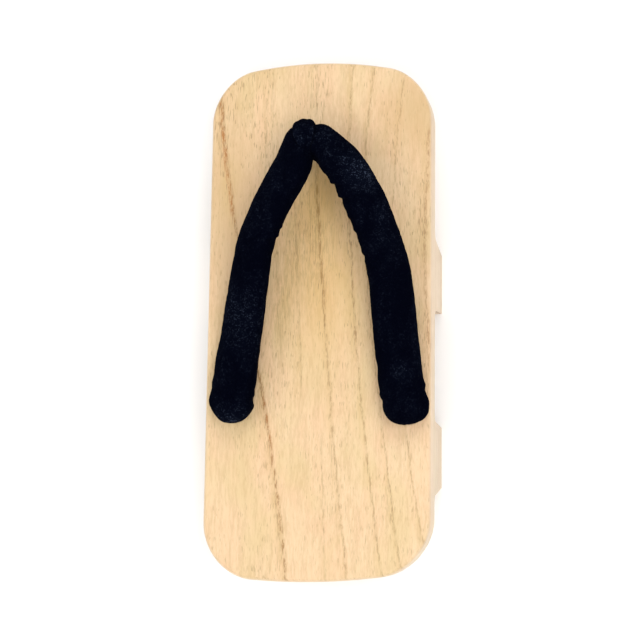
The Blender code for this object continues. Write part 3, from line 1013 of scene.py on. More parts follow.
@dataclass
class DaiBoard:
    """The board and its two teeth, carved from one block."""

    length: float = BOARD_LENGTH
    heel_width: float = 107.5 * MM
    toe_width: float = 105 * MM
    height: float = BOARD_TOP
    thickness: float = 17 * MM
    toe_corner: float = 20.3 * MM
    toe_bulge: float = 7.9 * MM
    heel_corner: float = 23.3 * MM
    heel_bulge: float = 5 * MM
    heel_slant: float = math.radians(2)
    top_round: float = 1.8 * MM
    foot_chamfer: float = 0.9 * MM
    eased_edge: float = 0.6 * MM
    sharp_from: float = math.radians(40)
    toe_tip: float = 12 * MM
    toe_rise: float = 30 * MM
    heel_tip: float = 13 * MM
    heel_rise: float = 24 * MM
    front_tooth_from_toe: float = 87 * MM
    front_tooth: float = 28 * MM
    rear_tooth_from_heel: float = 45 * MM
    rear_tooth: float = 29 * MM
    outer_lean: float = 4 * MM
    inner_lean: float = 1.5 * MM
    tooth_root: float = 5 * MM
    front_hole: Hole = Hole(0.0, 80.5 * MM, 6 * MM)
    right_hole: Hole = Hole(40.5 * MM, -39 * MM, 5.5 * MM)

    @property
    def underside(self) -> float:
        """The height of the board's underside over the floor."""
        return self.height - self.thickness

    def plan_point(self, x: float, y: float) -> tuple[float, float]:
        """Bends a rounded rectangle's point into the board's plan.

        Args:
            x: The point's x.
            y: The point's y.

        Returns:
            The bent point.
        """
        share = x / (self.heel_width / 2)
        if y > 0:
            y += self.toe_bulge * (1 - share**2)
        else:
            reach = min(1.0, -y / (self.length / 2))
            y -= self.heel_bulge * (1 - share**2)
            y += x * math.tan(self.heel_slant) * reach
        middle = (self.heel_width + self.toe_width) / 2
        width = middle + (self.toe_width - self.heel_width) * y / self.length
        return x * width / self.heel_width, y

    def plan(self, corner_steps: int = 22, end_steps: int = 20) -> Outline:
        """The board's outline from above, anticlockwise from the toe's right corner.

        Args:
            corner_steps: The steps of a corner.
            end_steps: The steps of an end.

        Returns:
            The outline's points.
        """
        half = self.heel_width / 2
        toe, heel = self.length / 2 - self.toe_bulge, self.heel_bulge - self.length / 2
        corners = (
            (1, toe, self.toe_corner, 0),
            (-1, toe, self.toe_corner, 90),
            (-1, heel, self.heel_corner, 180),
            (1, heel, self.heel_corner, 270),
        )
        outline = []
        for number, (side, end, radius, start) in enumerate(corners):
            centre = (side * (half - radius), end - math.copysign(radius, end))
            for step in range(corner_steps + 1):
                angle = math.radians(start + 90 * step / corner_steps)
                outline.append((centre[0] + radius * math.cos(angle), centre[1] + radius * math.sin(angle)))
            # The toe follows the first corner, and the heel the third.
            if number in (0, 2):
                outline += [(centre[0] * (1 - 2 * s / end_steps), end) for s in range(1, end_steps)]
        return [self.plan_point(x, y) for x, y in outline]

    def root(self, face: float, way: int, steps: int = 10) -> Outline:
        """The hollow curve from a tooth's face into the board's underside.

        Args:
            face: The y of the tooth's face at its root.
            way: 1 if the curve goes to the toe, or -1.
            steps: The steps of the curve.

        Returns:
            Its points as y and z, from the face outwards.
        """
        radius = self.tooth_root
        centre = (face + way * radius, self.underside - radius)
        angles = [math.pi / 2 * step / steps for step in range(steps + 1)]
        return [(centre[0] - way * radius * math.cos(a), centre[1] + radius * math.sin(a)) for a in angles]

    def profile(self) -> Outline:
        """The block's outline from the side, which goes past both ends of the plan.

        Returns:
            Its points as y and z.
        """
        toe, heel = self.length / 2, -self.length / 2
        under, beyond = self.underside, OVERSHOOT
        front = toe - self.front_tooth_from_toe
        back = front - self.front_tooth
        rear_back = heel + self.rear_tooth_from_heel
        rear_front = rear_back + self.rear_tooth
        toe_lift = (self.thickness - self.toe_tip) * (self.toe_rise + beyond) / self.toe_rise
        heel_lift = (self.thickness - self.heel_tip) * (self.heel_rise + beyond) / self.heel_rise
        outline = [(heel - beyond, self.height), (heel - beyond, under + heel_lift)]
        outline += [(heel + self.heel_rise, under)]
        outline += self.root(rear_back - self.outer_lean, -1)[::-1] + [(rear_back, 0.0), (rear_front, 0.0)]
        outline += self.root(rear_front + self.inner_lean, 1)
        outline += self.root(back - self.inner_lean, -1)[::-1] + [(back, 0.0), (front, 0.0)]
        outline += self.root(front + self.outer_lean, 1)
        outline += [(toe - self.toe_rise, under)]
        outline += [(toe + beyond, under + toe_lift), (toe + beyond, self.height)]
        return outline

    def plan_block(self) -> bpy.types.Object:
        """The plan as a block of full height, its top edge rounded and its foot chamfered.

        Returns:
            The block.
        """
        level_error = 0.001 * MM
        outline = self.plan()
        count = len(outline)
        points = [(x, y, 0.0) for x, y in outline] + [(x, y, self.height) for x, y in outline]
        faces: list[Any] = [tuple(range(count))[::-1], tuple(range(count, 2 * count))]
        faces += [(i, (i + 1) % count, count + (i + 1) % count, count + i) for i in range(count)]
        block = new_object("dai_board_carved", points, faces)
        made = bmesh.new()
        made.from_mesh(block.data)
        for level, size, steps in ((self.height, self.top_round, 6), (0.0, self.foot_chamfer, 2)):
            edges = [e for e in made.edges if all(abs(v.co.z - level) < level_error for v in e.verts)]
            bmesh.ops.bevel(made, geom=edges, offset=size, segments=steps, profile=0.5, affect="EDGES")
        made.to_mesh(block.data)
        made.free()
        return block

    def cutter(self, hole: Hole, sides: int = 64) -> bpy.types.Object:
        """An upright cylinder through the board.

        Args:
            hole: The hole to cut.
            sides: The cylinder's sides.

        Returns:
            The cutter.
        """
        x, y, radius = hole
        angles = [math.tau * k / sides for k in range(sides)]
        ring = np.array([[x + radius * math.cos(a), y + radius * math.sin(a), 0.0] for a in angles])
        return loft("hole", np.stack([ring + (0, 0, -OVERSHOOT), ring + (0, 0, self.height + OVERSHOOT)]))

    def build(self, finishes: Finishes) -> bpy.types.Object:
        """Carves the block and dresses it.

        Args:
            finishes: The materials.

        Returns:
            The board.
        """
        board = self.plan_block()
        side = np.array([[-self.heel_width, y, z] for y, z in self.profile()])
        boolean(board, loft("side", np.stack([side, side + (2 * self.heel_width, 0, 0)])), "INTERSECT")
        for hole in (self.front_hole, self.right_hole, self.right_hole._replace(x=-self.right_hole.x)):
            boolean(board, self.cutter(hole), "DIFFERENCE")
        board.data.shade_smooth()
        eased = board.modifiers.new("eased edges", "BEVEL")
        eased.limit_method = "ANGLE"
        eased.angle_limit = self.sharp_from
        eased.width = self.eased_edge
        eased.segments = 3
        eased.harden_normals = True
        settle_modifiers(board)
        finish_piece(board, finishes.wood, "dai_board")
        return board


class ArmSection(NamedTuple):
    """One section of a strap arm.

    Along is the share of the way from the rear hole to the front hole, and out the share of the rear hole's
    distance from the middle. Sway is in shares of the strap's width, towards the right. Lift, width and thick
    are shares of the strap's rise, width and thickness. Roof is how far the arm slopes down outwards, in
    degrees.
    """

    along: float
    out: float
    sway: float
    lift: float
    width: float
    thick: float
    roof: float


ARM_SECTIONS = (
    ArmSection(0.00, 1.004, 0.08, 0.00, 1.07, 1.12, 6),
    ArmSection(0.09, 0.963, 0.06, 0.03, 1.04, 1.08, 9),
    ArmSection(0.19, 0.92, 0.08, 0.16, 1.02, 1.04, 13),
    ArmSection(0.30, 0.876, 0.115, 0.36, 1.00, 1.00, 17),
    ArmSection(0.40, 0.84, 0.145, 0.56, 0.99, 0.98, 20),
    ArmSection(0.50, 0.795, 0.16, 0.75, 0.98, 0.97, 22),
    ArmSection(0.60, 0.72, 0.15, 0.90, 0.97, 0.97, 24),
    ArmSection(0.70, 0.605, 0.15, 0.98, 0.97, 0.97, 25),
    ArmSection(0.80, 0.465, 0.16, 1.00, 0.97, 0.98, 26),
    ArmSection(0.90, 0.30, 0.13, 0.97, 0.96, 1.00, 26),
    ArmSection(0.95, 0.20, 0.03, 0.92, 0.94, 1.00, 24),
    ArmSection(0.985, 0.12, -0.08, 0.86, 0.90, 1.00, 20),
)


class Crease(NamedTuple):
    """A fold across an arm, steep on its toe side.

    Angle is where round the arm it is deepest, in degrees: 0 on the outer side, 90 on top and 180 on the
    inner side. Place is the share of the way from the rear hole to the front hole, spread is in degrees and
    the rest is in millimetres.
    """

    side: Side
    place: float
    angle: float
    spread: float
    depth: float
    width: float
    slant: float


CREASES = (
    Crease(Side.RIGHT, 0.904, 176, 42, 0.32, 0.9, 3.0),
    Crease(Side.RIGHT, 0.850, 176, 50, 1.00, 0.8, 3.4),
    Crease(Side.RIGHT, 0.794, 178, 46, 0.95, 0.8, 3.0),
    Crease(Side.RIGHT, 0.711, 180, 40, 0.36, 0.8, 2.6),
    Crease(Side.RIGHT, 0.656, 180, 44, 0.46, 0.9, 2.2),
    Crease(Side.RIGHT, 0.567, 180, 46, 0.48, 1.0, 1.8),
    Crease(Side.RIGHT, 0.531, 180, 38, 0.22, 0.9, 1.4),
    Crease(Side.LEFT, 0.824, 180, 44, 0.26, 2.2, 3.0),
    Crease(Side.LEFT, 0.668, 178, 46, 0.80, 0.8, 2.6),
    Crease(Side.LEFT, 0.634, 178, 52, 0.90, 0.8, 2.4),
    Crease(Side.LEFT, 0.575, 180, 36, 0.20, 1.0, 2.0),
    Crease(Side.LEFT, 0.015, 182, 48, 0.52, 1.1, 0.0),
    Crease(Side.LEFT, 0.040, -5, 50, 0.40, 1.5, 0.0),
    Crease(Side.RIGHT, 0.018, 182, 50, 0.60, 1.2, 0.0),
    Crease(Side.RIGHT, 0.14, 180, 40, 0.18, 1.6, 1.0),
    Crease(Side.LEFT, 0.17, 178, 40, 0.16, 1.8, 1.0),
    Crease(Side.RIGHT, 0.026, 0, 55, 0.55, 1.4, 0.0),
)


class Fullness(NamedTuple):
    """A place where an arm is stuffed fuller or slacker, with the same angle and place as a fold.

    Size and length are in millimetres, and spread is in degrees.
    """

    side: Side
    place: float
    angle: float
    spread: float
    size: float
    length: float


PADDING = (
    Fullness(Side.LEFT, 0.90, 0, 50, 0.30, 10.0),
    Fullness(Side.LEFT, 1.00, 0, 60, -0.70, 5.0),
    Fullness(Side.LEFT, 0.76, 0, 50, 0.40, 16.0),
    Fullness(Side.LEFT, 0.965, 180, 46, -1.5, 4.2),
    Fullness(Side.LEFT, 0.80, 180, 50, -0.75, 12.0),
    Fullness(Side.LEFT, 0.655, 180, 50, -0.80, 12.0),
    Fullness(Side.LEFT, 0.59, 180, 50, -0.30, 8.0),
    Fullness(Side.LEFT, -0.055, -70, 60, 0.5, 6.0),
    Fullness(Side.LEFT, -0.066, -8, 46, -1.7, 4.2),
    Fullness(Side.LEFT, 0.035, 182, 48, -0.50, 5.0),
    Fullness(Side.LEFT, -0.014, 182, 45, 0.50, 2.2),
    Fullness(Side.LEFT, -0.055, 180, 45, -0.50, 3.0),
    Fullness(Side.RIGHT, 0.978, 180, 44, -2.3, 3.6),
    Fullness(Side.RIGHT, 0.36, 180, 50, 0.60, 17.0),
    Fullness(Side.RIGHT, 0.72, 0, 50, 0.45, 20.0),
    Fullness(Side.RIGHT, 1.03, 0, 70, 1.1, 9.0),
    Fullness(Side.RIGHT, -0.075, 10, 60, 0.9, 5.0),
)


@dataclass
class HanaoStrap:
    """The two padded arms of the strap, joined at the front."""

    board: DaiBoard
    width: float = 20 * MM
    thickness: float = 13 * MM
    rise: float = 14.5 * MM
    end_length: float = 9.7 * MM
    rear_fuller: tuple[float, float] = (0.7 * MM, 1.2 * MM)
    end_turn: float = math.radians(88)
    end_fullness: float = 0.8
    flatness: float = 2.25
    height_spare: float = 1.04
    clearance: float = 0.3 * MM
    neck_length: float = 10 * MM
    gathers: int = 7
    gather_depth: float = 0.35 * MM
    nap_relief: tuple[tuple[float, float], ...] = (
        (17 * MM, 0.45 * MM),
        (5.5 * MM, 0.22 * MM),
        (1.5 * MM, 0.10 * MM),
        (0.8 * MM, 0.09 * MM),
    )
    stations: int = 210
    end_stations: int = 22
    sides: int = 104

    @property
    def span(self) -> float:
        """The distance along the board from the rear holes to the front hole."""
        return self.board.front_hole.y - self.board.right_hole.y

    def centre(self, row: ArmSection, side: Side) -> Vector:
        """The middle of an arm's section.

        Args:
            row: The section.
            side: The arm.

        Returns:
            The point.
        """
        half_width, half_thick = row.width * self.width / 2, row.thick * self.thickness / 2
        roof = math.radians(row.roof)
        half_height = math.hypot(half_width * math.sin(roof), half_thick * math.cos(roof)) * self.height_spare
        hole = self.board.right_hole
        return Vector((
            side.value * row.out * hole.x + row.sway * self.width,
            hole.y + row.along * self.span,
            self.board.height + self.clearance + half_height + row.lift * self.rise,
        ))

    @staticmethod
    def fold(off: np.ndarray) -> np.ndarray:
        """A fold's section: a valley, steeper on its toe side, with a puff before and behind it.

        Args:
            off: The distance towards the toe, in widths of the fold.

        Returns:
            How far the velvet stands out, from -1 at the bottom.
        """
        heel_slope = 2.2
        toe_puff, toe_puff_at = 0.65, 2.1
        heel_puff, heel_puff_at, heel_puff_width = 0.3, -4.5, 2
        valley = -np.where(off > 0, np.exp(-(off**2)), np.exp(-((off / heel_slope) ** 2)))
        puff = toe_puff * np.exp(-((off - toe_puff_at) ** 2))
        puff = puff + heel_puff * np.exp(-(((off - heel_puff_at) / heel_puff_width) ** 2))
        return valley + puff

    def relief(self, side: Side, along: float, angles: np.ndarray, end: float) -> np.ndarray:
        """How far the velvet stands in or out round one section, from its folds and its padding.

        Args:
            side: The arm.
            along: The section's share of the way to the front hole.
            angles: Where round the arm, in radians.
            end: 0 on the arm, up to 1 at the tip of its rear end.

        Returns:
            The relief at each angle, in metres.
        """
        total = np.zeros(len(angles))
        crease_focus = 1.6
        for crease in (row for row in CREASES if row.side is side):
            turn = (angles - math.radians(crease.angle) + math.pi) % math.tau - math.pi
            reach = np.exp(-((turn / math.radians(crease.spread)) ** 2) * crease_focus)
            off = ((along - crease.place) * self.span - turn * crease.slant * MM) / (crease.width * MM)
            total += crease.depth * MM * reach * self.fold(off)
        for pad in (row for row in PADDING if row.side is side):
            turn = (angles - math.radians(pad.angle) + math.pi) % math.tau - math.pi
            off = (along - pad.place) * self.span / (pad.length * MM)
            total += pad.size * MM * np.exp(-((turn / math.radians(pad.spread)) ** 2)) * math.exp(-(off**2))
        if end > 0:
            # The velvet is gathered on the end's underside, towards the neck.
            below = np.clip(-np.sin(angles) + 0.5, 0, 1)
            total += self.gather_depth * end * np.cos(self.gathers * angles + side.value) * below
        return total

    def rings(self, side: Side) -> np.ndarray:
        """The sections of one arm from its rear end to its front end.

        Args:
            side: The arm.

        Returns:
            Points as an array of rings, sides and coordinates.
        """
        last = len(ARM_SECTIONS) - 1
        steps = self.stations + (side is Side.RIGHT)
        rows = [smooth_row(ARM_SECTIONS, last * k / steps) for k in range(steps + 1)]
        centres = [self.centre(row, side) for row in rows]
        stations = []
        for k, (row, centre) in enumerate(zip(rows, centres)):
            along = centres[min(k + 1, steps)] - centres[max(k - 1, 0)]
            along.z = 0
            stations.append((row, centre, along.normalized(), 1.0, 0.0, row.along))
        for end, way in ((0, -1), (-1, 1)):
            row, centre, along = stations[end][:3]
            cap = []
            reach = self.end_length + (self.rear_fuller[side is Side.RIGHT] if way < 0 else 0.0)
            for step in range(1, self.end_stations + 1):
                angle = self.end_turn * step / self.end_stations
                push = way * reach * math.sin(angle)
                shrink = math.cos(angle) ** self.end_fullness
                tip = step / self.end_stations if way < 0 else 0.0
                cap.append((row, centre + along * push, along, shrink, tip, row.along + push / self.span))
            stations = cap[::-1] + stations if way < 0 else stations + cap
        angles = np.arange(self.sides) * math.tau / self.sides
        cosine, sine = np.cos(angles), np.sin(angles)
        x = np.sign(cosine) * np.abs(cosine) ** (2 / self.flatness)
        y = np.sign(sine) * np.abs(sine) ** (2 / self.flatness)
        relief_hold = 1.6
        rings = []
        for row, centre, along, shrink, tip, place in stations:
            outward = Vector((along.y, -along.x, 0)) * side.value
            roof = math.radians(row.roof)
            across = np.array(outward * math.cos(roof) - Vector((0, 0, math.sin(roof))))
            up = np.array(outward * math.sin(roof) + Vector((0, 0, math.cos(roof))))
            # The relief fades only near the very tip, where a ring shrinks to nothing.
            relief = self.relief(side, place, angles, tip) * min(1.0, shrink * relief_hold)
            half_width = row.width * self.width / 2 * shrink + relief
            half_thick = row.thick * self.thickness / 2 * shrink + relief
            rings.append(np.array(centre) + np.outer(x * half_width, across) + np.outer(y * half_thick, up))
        return np.array(rings)

    def neck(self, side: Side, sides: int = 48, steps: int = 11) -> bpy.types.Object:
        """The gathered neck that goes down a rear hole.

        Args:
            side: The arm.
            sides: The points of each section.
            steps: The steps from its foot to its head.

        Returns:
            The neck.
        """
        gathers, gather_share = 8, 0.035
        foot_share, foot_taper = 0.1, 0.9
        x, y, radius = self.board.right_hole
        angles = np.arange(sides) * math.tau / sides
        height = self.neck_length + self.clearance + self.thickness / 2
        gathered = 1 - gather_share * (1 + np.cos(gathers * angles))
        rings = []
        for step in range(steps + 1):
            share = step / steps
            z = self.board.height - self.neck_length + share * height
            taper = 1.0 if share > foot_share else foot_taper + share
            r = (radius - self.clearance) * gathered * taper
            ring = [side.value * x + r * np.cos(angles), y + r * np.sin(angles), np.full(sides, z)]
            rings.append(np.stack(ring, 1))
        return loft("neck", np.array(rings))

    def build(self, finishes: Finishes) -> bpy.types.Object:
        """Makes the strap and dresses it.

        Args:
            finishes: The materials.

        Returns:
            The strap.
        """
        strap = loft("hanao_velvet_strap", self.rings(Side.LEFT))
        boolean(strap, loft("right_arm", self.rings(Side.RIGHT)), "UNION")
        for side in Side:
            boolean(strap, self.neck(side), "UNION")
        roughen(strap, self.nap_relief)
        strap.data.shade_smooth()
        finish_piece(strap, finishes.velvet, "hanao_strap")
        return strap


class BandSection(NamedTuple):
    """One section of the toe loop.

    Turn is the share of the way round the strap's front, from the toe side over the top. Width and thick are
    shares of the loop's own.
    """

    turn: float
    width: float
    thick: float


BAND_SECTIONS = (
    BandSection(0.00, 0.94, 0.96),
    BandSection(0.10, 1.04, 0.92),
    BandSection(0.20, 1.06, 0.90),
    BandSection(0.30, 0.78, 0.85),
    BandSection(0.40, 0.42, 0.80),
    BandSection(0.50, 0.36, 0.80),
    BandSection(0.62, 0.72, 0.95),
    BandSection(0.75, 0.95, 1.00),
    BandSection(0.88, 1.00, 1.00),
)


@dataclass
class ToeLoop:
    """The velvet toe loop: a band round the strap's front, on a post between the toes."""

    strap: HanaoStrap
    width: float = 9.6 * MM
    thickness: float = 4.2 * MM
    stands_proud: float = 1.0 * MM
    length: float = 15.5 * MM
    turn: float = math.radians(7)
    sideways: float = -1.45 * MM
    neck_length: float = 13 * MM
    collar_height: float = 1 * MM
    pleats: int = 3
    pleat_depth: float = 0.22 * MM
    waist: float = 0.09
    post_twist: float = 0.5
    nap_relief: tuple[tuple[float, float], ...] = (
        (6 * MM, 0.18 * MM),
        (1.5 * MM, 0.09 * MM),
        (0.8 * MM, 0.08 * MM),
    )

    def front(self) -> Vector:
        """The middle of the strap's front, inside the loop."""
        row = ARM_SECTIONS[-1]
        return (self.strap.centre(row, Side.LEFT) + self.strap.centre(row, Side.RIGHT)) / 2

    def band(self, stations: int = 150, sides: int = 44) -> bpy.types.Object:
        """The band, right round the strap's front.

        Args:
            stations: The sections round the band.
            sides: The points of each section.

        Returns:
            The band.
        """
        half_length = self.length / 2
        half_height = self.strap.thickness / 2 + self.stands_proud
        across = np.array((math.cos(self.turn), math.sin(self.turn), 0.0))
        forward = np.array((-math.sin(self.turn), math.cos(self.turn), 0.0))
        centre = np.array(self.front()) + forward * (self.strap.end_length + self.stands_proud - half_length)
        centre += across * self.sideways
        rows = BAND_SECTIONS + (BAND_SECTIONS[0]._replace(turn=1.0),)
        round_ring = np.arange(sides) * math.tau / sides
        pleat_spread, pleat_sway = 2.4, 1.2
        rings = []
        for k in range(stations):
            row = smooth_row(rows, (len(rows) - 1) * k / stations)
            angle = math.tau * row.turn
            up = np.array((0.0, 0.0, math.sin(angle)))
            outward = forward * math.cos(angle) + up
            outward /= np.linalg.norm(outward)
            middle = centre + forward * (half_length * math.cos(angle)) + up * half_height
            half_width, half_thick = row.width * self.width / 2, row.thick * self.thickness / 2
            # Shallow pleats run along the band, sway a little and end at its edges.
            sway = pleat_sway * math.sin(self.pleats * angle)
            waves = np.cos(self.pleats * np.cos(round_ring) * pleat_spread + sway)
            pleat = self.pleat_depth * waves * np.abs(np.sin(round_ring))
            sideways = np.outer(half_width * np.cos(round_ring), across)
            rings.append(middle + sideways + np.outer((half_thick + pleat) * np.sin(round_ring), outward))
        return loft("maetsubo_velvet_loop", np.array(rings), closed=True)

    def post(self, sides: int = 56, steps: int = 59) -> bpy.types.Object:
        """The post, from inside the front hole up to the strap.

        Args:
            sides: The points of each section.
            steps: The steps from its foot to its head.

        Returns:
            The post.
        """
        # The collar is where the post comes out of its hole. Over it, the waist is a little below halfway.
        collar_share, waist_rise = 0.45, 1.15
        seam_depth, seam_focus = 0.05, 14
        gathers, gather_depth, gather_turn = 9, 0.012, 3
        hole, board_top = self.strap.board.front_hole, self.strap.board.height
        radius = hole.radius - self.strap.clearance
        front = self.front()
        foot = Vector((hole.x, hole.y, board_top - self.neck_length))
        collar = Vector((hole.x, hole.y, board_top + self.collar_height))
        head = Vector((front.x, front.y, front.z - self.strap.thickness / 4))
        angles = np.arange(sides) * math.tau / sides
        circle = np.stack([np.cos(angles), np.sin(angles), np.zeros(sides)], 1)
        rings = []
        for step in range(steps + 1):
            share = step / steps
            if share < collar_share:
                middle = foot.lerp(collar, share / collar_share)
                size = radius
            else:
                rise = (share - collar_share) / (1 - collar_share)
                middle = collar.lerp(head, rise)
                size = radius * (1 - self.waist * math.sin(math.pi * min(1.0, rise * waist_rise)))
            # Two seams run up the post, with fine gathers between them.
            from_seam = (angles + self.post_twist * share) % math.pi - math.pi / 2
            seam = seam_depth * np.exp(-(from_seam**2) * seam_focus)
            fold = 1 - seam - gather_depth * np.cos(gathers * angles + gather_turn * share)
            rings.append(np.array(middle) + circle * (size * fold)[:, None])
        return loft("post", np.array(rings))

    def build(self, finishes: Finishes) -> bpy.types.Object:
        """Makes the loop and dresses it.

        Args:
            finishes: The materials.

        Returns:
            The loop.
        """
        loop = self.band()
        boolean(loop, self.post(), "UNION")
        roughen(loop, self.nap_relief)
        loop.data.shade_smooth()
        finish_piece(loop, finishes.velvet, "maetsubo_toe_loop")
        return loop


class TwistedCord:
    """The Geometry Nodes tree that lays twisted strands along a path."""

    strands: int = 3
    strand_sides: int = 12
    pitch_in_radii: float = 5.2
    spacing_in_radii: float = 0.22

    def __init__(self) -> None:
        """Builds the tree."""
        group = Group(
            "twisted_cord",
            {
                "Geometry": (Kind.SHAPE, None),
                "Cord Radius": (Kind.NUMBER, 0.002),
                "Pitch": (Kind.NUMBER, 0.011),
                "Spacing": (Kind.NUMBER, 0.0005),
                "Sides": (Kind.COUNT, self.strand_sides),
                "Finish": (Kind.FINISH, None),
            },
            {"Geometry": Kind.SHAPE},
            geometry=True,
        )
        t, given = group.build, group.given
        curve = t.add("GeometryNodeMeshToCurve")
        t.fill(curve, {"Mesh": given["Geometry"]})
        spaced = t.add("GeometryNodeResampleCurve", mode="LENGTH")
        t.fill(spaced, {"Curve": curve.outputs[0], "Length": given["Spacing"]})
        measured = t.add("GeometryNodeSplineParameter")
        turns = t.math("DIVIDE", measured.outputs["Length"], given["Pitch"])
        tilt = t.add("GeometryNodeSetCurveTilt")
        t.fill(tilt, {"Curve": spaced.outputs[0], "Tilt": t.math("MULTIPLY", turns, math.tau)})
        strand = t.math("MULTIPLY", given["Cord Radius"], 0.5)
        ring = t.add("GeometryNodeCurvePrimitiveCircle", mode="RADIUS")
        t.fill(ring, {"Resolution": given["Sides"], "Radius": strand})
        join = t.add("GeometryNodeJoinGeometry")
        for k in range(self.strands):
            angle = math.tau * k / self.strands
            place = t.add("ShaderNodeCombineXYZ")
            x = t.math("MULTIPLY", strand, math.cos(angle))
            y = t.math("MULTIPLY", strand, math.sin(angle))
            t.fill(place, {"X": x, "Y": y})
            moved = t.add("GeometryNodeTransform")
            t.fill(moved, {"Geometry": ring.outputs["Curve"], "Translation": place.outputs[0]})
            t.wire(moved.outputs[0], join.inputs[0])
        skin = t.add("GeometryNodeCurveToMesh")
        t.fill(skin, {"Curve": tilt.outputs[0], "Profile Curve": join.outputs[0], "Fill Caps": True})
        real = t.add("GeometryNodeRealizeInstances")
        t.wire(skin.outputs[0], real.inputs[0])
        finish = t.add("GeometryNodeSetMaterial")
        t.fill(finish, {"Geometry": real.outputs[0], "Material": given["Finish"]})
        t.wire(finish.outputs[0], group.result["Geometry"])
        self.group = group

    def lay(
        self, name: str, paths: Sequence[Sequence[Vector]], radius: float, material: bpy.types.Material
    ) -> bpy.types.Object:
        """Lays cords along paths and makes them one plain mesh.

        Args:
            name: The object's name.
            paths: Each cord's points.
            radius: The cord's radius.
            material: The material.

        Returns:
            The cords.
        """
        points: list[Vector] = []
        mesh = bpy.data.meshes.new(name)
        edges: list[tuple[int, int]] = []
        for path in paths:
            start = len(points)
            points += list(path)
            edges += [(start + i, start + i + 1) for i in range(len(path) - 1)]
        mesh.from_pydata([tuple(p) for p in points], edges, [])
        obj = bpy.data.objects.new(name, mesh)
        modifier = obj.modifiers.new("twisted cord", "NODES")
        modifier.node_group = self.group.data
        for label, value in (
            ("Cord Radius", radius),
            ("Pitch", radius * self.pitch_in_radii),
            ("Spacing", radius * self.spacing_in_radii),
            ("Sides", self.strand_sides),
            ("Finish", material),
        ):
            modifier[self.group.identifiers[label]] = value
        bpy.context.scene.collection.objects.link(obj)
        settle_modifiers(obj)
        obj.data.shade_smooth()
        return obj


@dataclass
class TieCords:
    """The cords under the board: the rear tie between the arms and the knot under the front hole."""

    cord: TwistedCord
    loop: ToeLoop
    radius: float = 2.1 * MM
    tail: float = 15 * MM
    knot_forward: float = 8 * MM
    knot_turns: float = 1.25
    spacing: float = 0.8 * MM

    def rear_path(self, turned: bool) -> list[Vector]:
        """One cord of the rear tie, from its hole to its tail.

        Args:
            turned: Whether it is the right cord, which is the left one turned half round.

        Returns:
            The cord's points.
        """
        r = self.radius
        strap = self.loop.strap
        board = strap.board
        hole_x, hole_y, _ = board.right_hole
        level = board.underside - strap.clearance - r
        high, low = level, level - 1.8 * r
        top = board.height - strap.neck_length - 2 * strap.clearance
        turn = -1 if turned else 1
        # These are the left cord's points. Most of their steps are shares of the cord's radius.
        out_of_hole = (
            (-hole_x, 0, top),
            (-hole_x, 0, top - r),
            (-hole_x - 0.1 * r, 0, board.underside + r),
            (-hole_x + 0.2 * r, 0.1 * r, board.underside - 0.4 * r),
            (-hole_x + 1.6 * r, 0.4 * r, level - 0.4 * r),
        )
        knot = (
            (-hole_x / 2, 1.6 * r, level - 0.1 * r),
            (-5 * r, 2.8 * r, high),
            (-2 * r, 3 * r, high - 0.2 * r),
            (1.5 * r, 3 * r, low),
            (3.6 * r, 2.4 * r, low),
            (4.4 * r, 1 * r, low),
            (3.6 * r, -0.4 * r, low),
            (1.5 * r, -1 * r, low),
            (-2 * r, -1 * r, high - 0.2 * r),
            (-5 * r, -1.2 * r, high),
            (-5 * r - self.tail / 2, -2 * r, high - 0.4 * r),
            (-5 * r - self.tail, -2.4 * r, high - 1.6 * r),
        )
        knot_y = hole_y + self.knot_forward
        path = [Vector((turn * x, hole_y + y, z)) for x, y, z in out_of_hole]
        path += [Vector((turn * x, knot_y + turn * y, z)) for x, y, z in knot]
        return smooth_path(path, self.spacing)

    def front_path(self, turned: bool) -> list[Vector]:
        """One cord of the front knot: down the hole, round the other cord and out to a tail.

        Args:
            turned: Whether it is the second cord.

        Returns:
            The cord's points.
        """
        r = self.radius
        strap = self.loop.strap
        board = strap.board
        hole = board.front_hole
        turn = math.pi if turned else 0.0
        top = board.height - self.loop.neck_length - strap.clearance
        wrap_top = board.underside - strap.clearance - 1.2 * r
        depth = 3.2 * r
        inner, wider, wider_by, wrap_steps = 0.95, 1.05, 2.5, 12
        knee_turn, tail_turn = 0.55, 0.6
        # Each point is its distance from the hole's middle, its angle and its height.
        points = [(inner * r, turn, top), (inner * r, turn, board.underside)]
        for step in range(wrap_steps + 1):
            share = step / wrap_steps
            wide = (inner + wider * min(1.0, wider_by * share)) * r
            points.append((wide, turn + math.tau * self.knot_turns * share, wrap_top - depth * share))
        last = turn + math.tau * self.knot_turns
        points.append((2 * r + self.tail * 0.5, last + knee_turn, wrap_top - depth - 0.3 * r))
        points.append((2 * r + self.tail, last + tail_turn, wrap_top - depth - 1.2 * r))
        path = [Vector((d * math.cos(a), hole.y + d * math.sin(a), z)) for d, a, z in points]
        return smooth_path(path, self.spacing)

    def build(self, finishes: Finishes) -> list[bpy.types.Object]:
        """Lays the cords and dresses them.

        Args:
            finishes: The materials.

        Returns:
            The rear tie and the front knot.
        """
        pieces = []
        for name, node, route in (
            ("rear_tie_twisted_cord", "rear_tie_cord", self.rear_path),
            ("front_knot_twisted_cord", "front_knot_cord", self.front_path),
        ):
            piece = self.cord.lay(name, [route(False), route(True)], self.radius, finishes.cord)
            finish_piece(piece, finishes.cord, node)
            pieces.append(piece)
        return pieces


class Lamp(NamedTuple):
    """A square soft light, in metres and watts."""

    name: str
    at: RGB
    to: RGB
    size: float
    power: float
    colour: RGB


